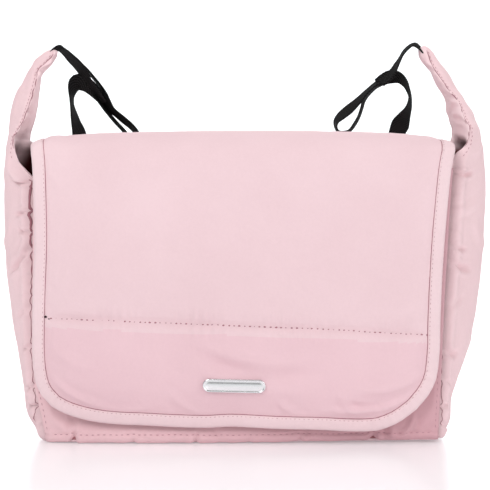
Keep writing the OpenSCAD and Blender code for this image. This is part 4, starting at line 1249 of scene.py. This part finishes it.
# ------------------------------------------------------------------ badge
def badge():
    bx, bz = -8.0, 53.4
    d = edge_distance(np.array([bx]), np.array([bz]))
    e = 6.0
    F, N = flap_face(np.array([bx - e, bx, bx + e, bx, bx]), np.array([bz, bz, bz, bz - e, bz + e]))
    n = unit((N[1] + N[3] + N[4])[None])[0]
    c = F.mean(0)
    c = c + n * 0.5
    ex = unit((np.array([1.0, 0, 0]) - n * n[0])[None])[0]
    ez = np.cross(n, ex)
    ez = ez if ez[2] > 0 else -ez
    rot = math.radians(-1.2)
    ex, ez = ex * math.cos(rot) + ez * math.sin(rot), ez * math.cos(rot) - ex * math.sin(rot)
    R, H, per = 5.9, 21.4, 24

    def loop(r, h, z):
        pts = []
        for i in range(per + 1):
            a = -math.pi / 2 + math.pi * i / per
            pts.append((h + r * math.cos(a), r * math.sin(a), z))
        for i in range(per + 1):
            a = math.pi / 2 + math.pi * i / per
            pts.append((-h + r * math.cos(a), r * math.sin(a), z))
        return pts

    rings = [loop(R - 0.5, H, -0.6), loop(R, H, -0.2), loop(R, H, 0.9), loop(R - 0.25, H, 1.35), loop(R - 0.7, H, 1.55), loop(R - 1.15, H, 1.45), loop(R - 1.35, H, 1.05),
             loop(R - 1.9, H, 0.95), loop(R - 3.2, H, 1.35), loop(R - 4.6, H, 1.6), loop(0.3, H, 1.66)]
    k = len(rings[0])
    V = np.array([c + ex * p[0] + ez * p[1] + n * p[2] for r in rings for p in r])
    F2 = [(i * k + j, i * k + (j + 1) % k, (i + 1) * k + (j + 1) % k, (i + 1) * k + j) for i in range(len(rings) - 1) for j in range(k)]
    F2 += [tuple(range(k))[::-1], tuple((len(rings) - 1) * k + j for j in range(k))]
    ob = mesh("flap_badge_plate", V, F2, CHROME, "flap_front")
    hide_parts("flap_badge")


badge()

# ------------------------------------------------------------------ black webbing


def place(px, py, y):
    """Where a point seen at (px, py) from the front lies when it is at depth y."""
    s = (1700.0 + y) / K
    return np.array([CX + (px - PX) * s, y, CZ + (PX - py) * s])


def edges(rows, width=20.0):
    """Two edges of a webbing band. A row is (ax, ay, bx, by, depth, turn): the band's two edges as seen from the front,
    the depth of its middle, and which edge is nearer; the real width gives how far apart in depth they are."""
    A, B = [], []
    for ax, ay, bx, by, y, turn, *wide in rows:
        full = wide[0] if wide else width
        a, b = place(ax, ay, y), place(bx, by, y)
        w = min(np.hypot(a[0] - b[0], a[2] - b[2]), full * 0.999)
        dy = math.sqrt(full**2 - w**2) * turn
        A.append(place(ax, ay, y - dy / 2))
        B.append(place(bx, by, y + dy / 2))
    return np.array(A), np.array(B)


def ribbon(name, A, B, n, body=None, t=1.5, mat=None, cross=10, keep=True):
    """Webbing between two edge curves, with a rounded, slightly firmer edge."""
    if keep:
        both = spline(np.hstack([A, B]), n)
        A, B = both[:, :3], both[:, 3:]
    C, W = (A + B) / 2, (B - A)
    T = unit(np.gradient(C, axis=0))
    Wn = unit(W - (W * T).sum(1, keepdims=True) * T)
    half = np.sqrt((W**2).sum(1)) / 2
    N = unit(np.cross(T, Wn))
    c = np.linspace(-1, 1, cross)
    prof = t / 2 * (1 - 0.75 * np.abs(c) ** 8) * (1 + 0.12 * np.exp(-((np.abs(c) - 0.86) / 0.08) ** 2))
    out = C[:, None] + Wn[:, None] * (c[None, :, None] * half[:, None, None]) + N[:, None] * prof[None, :, None]
    inn = C[:, None] + Wn[:, None] * (c[None, :, None] * half[:, None, None]) - N[:, None] * prof[None, :, None]
    V, F, k = slab(out, inn)
    L = np.concatenate([[0], np.cumsum(np.sqrt((np.diff(C, axis=0) ** 2).sum(1)))])
    uv = np.stack(np.broadcast_arrays(L[:, None], c[None] * half[:, None]), -1).reshape(-1, 2)
    ob = mesh(name, V, F, mat or WEB, body, np.vstack([uv, uv]))
    return ob, C, Wn, N


# wing tip to joint; the first rows lie inside the wing's tip
lw = [(42.5, 62, 44.5, 64, 44.5, 1, 8), (46, 57, 48.6, 59.4, 44.5, 1, 8), (49, 53, 52, 56, 44.5, 1, 9), (51, 50.2, 55, 53.6, 45, 1, 10), (54.3, 47.2, 57, 52.2, 46, 1, 13), (58.4, 45.3, 60, 51.8, 47.5, 1, 17), (64, 47.6, 63.5, 54.4, 49, 1),
      (69, 51, 67.2, 58.8, 51.5, 1), (74, 55.2, 71, 64, 54, 1), (79.5, 60.3, 75, 68.6, 56, 1), (84, 65.6, 79, 74, 58, 1), (87.3, 71, 82.5, 80, 59.5, 1), (89.4, 76.6, 86, 85.5, 61, 1), (93.2, 82.2, 89.6, 91.5, 62, 1), (97.2, 88.2, 93.4, 97, 63, 1), (101, 94, 97.6, 102, 64, 1), (105, 100, 102, 107, 65, 1)]
A, B = edges(lw)
left_wing, *_ = ribbon("left_wing_webbing", A, B, 60)
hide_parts("left_wing_web")
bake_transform(left_wing)
rw = [(429.5, 60, 431.5, 62.5, 45, -1, 8), (426.4, 56, 428.4, 58, 44, -1, 8), (423.6, 52.2, 423.8, 54, 42, -1, 9), (421, 47.6, 419.2, 49.8, 42.5, -1, 10), (415, 43.2, 413.6, 46.8, 45, -1, 13), (409.2, 45, 408.6, 49.5, 48, -1, 17),
      (403, 50.8, 403.4, 55.4, 52, -1), (398.7, 58, 400.6, 61.4, 55, -1), (394.5, 64.5, 398.6, 67, 58, -1), (390, 70, 396.5, 72.5, 61, -1), (383, 76.5, 391, 80, 63.5, -1)]
A, B = edges(rw)
right_wing, *_ = ribbon("right_wing_webbing", A, B, 60)
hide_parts("right_wing_web")
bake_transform(right_wing)

# shoulder strap, from the left joint over its arch, down behind the bag and up again at the right
la = [(103, 92, 98.4, 102.6, 65, 0.2, 13), (97, 85.5, 92.4, 97.3, 65, 0.3, 14), (90, 79, 87, 93, 65, 0.4, 15), (84, 75.2, 82.2, 91, 65.5, 0.4, 17), (79, 73.6, 78.8, 90.6, 66, 0.4), (75, 76, 76.6, 91.8, 66.5, 0.5), (72.2, 80.5, 75.4, 94.8, 66.8, 0.6),
      (70.6, 86.5, 74.4, 98.6, 67.3, 0.8), (70, 94, 73.7, 102.6, 68, 1), (70, 104, 74.2, 106.4, 69, 1), (70.4, 113, 77, 113, 70, 1), (71.1, 123, 81, 122.8, 71, 1), (72.2, 134, 86, 133.4, 72.5, 1)]
A1, B1 = edges(la)
ra = [(405, 134.5, 388.4, 133.4, 72.5, -1), (409.8, 124, 391, 125, 71, -1), (411.2, 117, 397, 117.4, 70.4, -1), (411.8, 110, 403, 110.6, 70, -1), (411.9, 103, 407, 103.6, 69, -1), (411.2, 95.5, 408.6, 97, 68, -1), (409.8, 88.5, 406.2, 91, 67, -0.9),
      (407.2, 80.5, 402.8, 86.6, 66.5, -0.7), (402.6, 74, 398.4, 83.4, 66, -0.5), (397, 70.6, 393, 82.8, 65.5, -0.4), (390, 70.8, 387.4, 83.8, 65, -0.4), (384, 74.4, 381, 85.6, 65, -0.3, 17), (378.4, 79, 375.6, 87.8, 65, -0.2, 14)]
A3, B3 = edges(ra)


def hidden(rows):
    A, B = [], []
    for x, y, z, wx, wy, wz in rows:
        w = unit(np.array([[wx, wy, wz]], float))[0]
        A.append(np.array([x, y, z]) - w * 10)
        B.append(np.array([x, y, z]) + w * 10)
    return np.array(A), np.array(B)


mid_rows = [(-154, 75, 262, 0.72, 0.69, 0), (-152, 77.2, 240, 0.6, 0.8, 0), (-151, 79.6, 215, 0.38, 0.93, 0), (-150, 81.3, 190, 0.12, 0.99, 0), (-148.5, 81.5, 167, 0, 1, 0), (-147.1, 81.5, 145, 0, 1, 0),
            (-142, 81.5, 126, 0, 1, 0), (-130, 81.5, 102, 0, 1, 0), (-110, 81.5, 76, 0, 1, 0), (-82, 81.5, 52, 0, 1, 0), (-45, 81.5, 36, 0, 1, 0), (-5, 81.5, 31, 0, 1, 0), (35, 81.5, 36, 0, 1, 0),
            (72, 81.5, 52, 0, 1, 0), (102, 81.5, 78, 0, 1, 0), (122, 81.5, 108, 0, 1, 0), (133, 81.5, 140, 0, 1, 0), (138, 81.5, 170, 0, 1, 0), (140.2, 81.2, 190, -0.1, 0.99, 0),
            (141, 79.5, 215, -0.38, 0.93, 0), (141.5, 77.2, 240, -0.6, 0.8, 0), (142.5, 75, 262, -0.72, 0.69, 0)]
A2, B2 = hidden(mid_rows)
ra2, rb2 = B3, A3
if np.linalg.norm(A2[-1] - A3[0]) < np.linalg.norm(A2[-1] - B3[0]):
    ra2, rb2 = A3, B3
A, B = np.vstack([A1, A2, ra2]), np.vstack([B1, B2, rb2])
strap, SC, SW, SN = ribbon("shoulder_strap_webbing", A, B, 420, "strap")
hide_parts("left_shoulder_strap", "middle_shoulder_strap", "right_shoulder_strap")


# hanging loops: one band that runs down, turns and comes back up
ll = [(81.4, 62.6, 78.6, 66.6, 64, 1), (86, 66.8, 83.6, 70, 64.6, 1), (89.7, 71, 88, 73, 65, 1), (93.5, 75.5, 91.3, 77.2, 65, 1), (97.6, 80.4, 95.4, 82, 65, 1), (101.4, 85.2, 99, 87.2, 65.4, 1), (104.6, 89.3, 100.8, 92, 66, 1), (107.6, 94, 101.6, 98.6, 66, 1),
      (110.3, 100, 104, 106, 66, 1), (113.6, 106.6, 108.4, 111.8, 66, 1), (117.6, 111, 113.6, 115.6, 66, 1), (126, 117.8, 122, 122.8, 66, 1), (133, 124, 128.5, 127.8, 66, 1),
      (138.6, 131, 133.4, 132.8, 66, 1), (141, 138, 135.6, 138, 66, 1), (139, 143.5, 134, 140.5, 66, 1), (133.5, 144.5, 131.5, 140, 66, 1), (128, 139.5, 129.6, 136.5, 66, 1), (122, 131.2, 126, 130.8, 66, 1),
      (113.6, 122.2, 118.2, 122.4, 66.5, 1), (105.2, 112, 110, 113, 67, 1), (97.6, 101.6, 102.4, 103.4, 67, 1), (91.5, 93.4, 95.4, 95.4, 67, 1)]
A, B = edges(ll, 19)
loop_l, *_ = ribbon("left_hang_loop_webbing", A, B, 130)
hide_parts("left_hang_loop")
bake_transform(loop_l)
rl = [(384, 75.4, 388, 81.6, 66, -1), (378, 79.6, 381, 84.6, 66, -1), (371.6, 84.6, 373.8, 88.4, 66, -1), (363.4, 91.6, 367, 94.6, 66, -1), (354.4, 99.4, 360.6, 103.4, 66, -1), (344, 107.4, 352.4, 112.6, 66, -1), (337.4, 113.6, 345, 118.2, 66, -1),
      (334, 119.8, 339.4, 122.6, 66, -1), (334.4, 126.6, 337.2, 127, 66, -1), (337.6, 132.6, 339, 130.6, 66, -1), (343.6, 134.2, 344, 131, 66, -1), (350.4, 131.6, 348.6, 129.6, 66, -1), (355.6, 125.6, 353, 123.8, 66.5, -1),
      (360, 117.4, 357.4, 116.4, 67, -1), (363, 108.6, 360.6, 107.2, 67, -1), (365.4, 101.4, 362.4, 99.4, 67, -1), (370, 94.8, 367.4, 92.6, 67, -1), (376, 89, 374, 86.6, 67, -1), (382, 85.6, 380, 83, 67, -1)]
A, B = edges(rl, 19)
loop_r, *_ = ribbon("right_hang_loop_webbing", A, B, 130)
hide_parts("right_hang_loop")
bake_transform(loop_r)


# stitched patches over the joints
def patch(name, a, b, node, depth, turn, wide=18):
    A, B = edges([(a[0][0], a[0][1], a[1][0], a[1][1], depth, turn), ((a[0][0] + b[0][0]) / 2, (a[0][1] + b[0][1]) / 2, (a[1][0] + b[1][0]) / 2, (a[1][1] + b[1][1]) / 2, depth, turn),
                  (b[0][0], b[0][1], b[1][0], b[1][1], depth, turn)], wide)
    ob, C, W, N = ribbon(name, A, B, 14, "strap", t=2.6)
    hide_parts(node)
    # box stitch: a rectangle with its two diagonals
    c0, c1 = C[1], C[-2]
    w = W[6] * (wide / 2 - 2.4)
    n = N[6] if N[6][1] < 0 else -N[6]
    corners = [c0 - w, c0 + w, c1 + w, c1 - w]
    path = [corners[0], corners[1], corners[2], corners[3], corners[0], corners[2], corners[1], corners[3]]
    pts = np.vstack([np.linspace(p, q, 24)[:-1] for p, q in zip(path[:-1], path[1:])])
    stitches(name + "_thread", pts + n * 1.35, np.tile(n, (len(pts), 1)), BLACK_THREAD, "strap", 2.6, 1.9, 0.28)


patch("left_joint_webbing", ((86.6, 73.5), (82.2, 78)), ((97, 87.6), (92.2, 91.6)), "left_joint_patch", 63.4, 0.9, 7.4)
patch("right_joint_webbing", ((391, 69.5), (396.5, 76)), ((378, 79), (383, 86.6)), "right_joint_patch", 62.6, -0.9)


# ------------------------------------------------------------------ strap slider
def slider():
    c = np.array([-148.55, 81.5, 167.0])
    a = math.radians(-3.77)
    ex, ez = np.array([math.cos(a), 0, -math.sin(a)]), np.array([math.sin(a), 0, math.cos(a)])
    ey = np.array([0, 1.0, 0])

    def bar(name, p, q, r1, r2, n=10):
        pts = np.linspace(p, q, n)
        d = unit((q - p)[None])[0]
        side = unit(np.cross(d, ex)[None])[0]
        return pts, np.tile(side, (n, 1)), np.tile(ex, (n, 1)), r1, r2

    V, F = [], []

    def add(pts, side, up, hw, ht, around=14):
        base = len(V)
        n = len(pts)
        for p, s, u in zip(pts, side, up):
            for k in range(around):
                t = 2 * math.pi * k / around
                V.append(p + s * hw * math.copysign(abs(math.cos(t)) ** 0.8, math.cos(t)) + u * ht * math.copysign(abs(math.sin(t)) ** 0.8, math.sin(t)))
        for i in range(n - 1):
            for k in range(around):
                F.append((base + i * around + k, base + i * around + (k + 1) % around, base + (i + 1) * around + (k + 1) % around, base + (i + 1) * around + k))
        F.append(tuple(base + k for k in range(around))[::-1])
        F.append(tuple(base + (n - 1) * around + k for k in range(around)))

    # rounded outer frame
    R = []
    for i in range(48):
        t = 2 * math.pi * i / 48
        R.append(c + ey * 12.2 * math.copysign(abs(math.cos(t)) ** 0.42, math.cos(t)) + ez * 8.9 * math.copysign(abs(math.sin(t)) ** 0.42, math.sin(t)))
    R = np.array(R + [R[0]])
    T = unit(np.gradient(R, axis=0)); T[0] = T[-1] = unit((R[1] - R[-2])[None])[0]
    add(R, unit(np.cross(T, ex)), np.tile(ex, (len(R), 1)), 1.15, 1.7)
    # centre bar on the outer side of the webbing
    pts, s, u, *_ = bar("bar", c - ey * 12 - ex * 2.4, c + ey * 12 - ex * 2.4, 0, 0)
    add(pts, s, u, 1.9, 0.95)
    for sgn in (-1, 1):
        pts, s, u, *_ = bar("end", c + ey * 12.1 * sgn - ex * 2.6, c + ey * 12.1 * sgn + ex * 0.4, 0, 0, 4)
        add(pts, np.tile(ez, (4, 1)), np.tile(ey, (4, 1)), 2.0, 1.0)
    ob = mesh("strap_slider_moulding", np.array(V), F, SLIDER, "slider")
    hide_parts("strap_slider")


slider()

# ------------------------------------------------------------------ finishes of the pieces kept from the frame
FINISH = {"base_board": BOARD, "snap_sockets": SNAP, "snap_backings": SNAP, "snap_studs": SNAP, "snap_stud_backings": SNAP, "badge_pins": CHROME, "left_tip_tab": WEB, "right_tip_tab": WEB}
for node, mat in FINISH.items():
    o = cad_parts[node]
    o = o if hasattr(o, "data") else bpy.data.objects[node]
    if not o.material_slots:
        o.data.materials.append(mat)
    for sl in o.material_slots:
        sl.material = mat
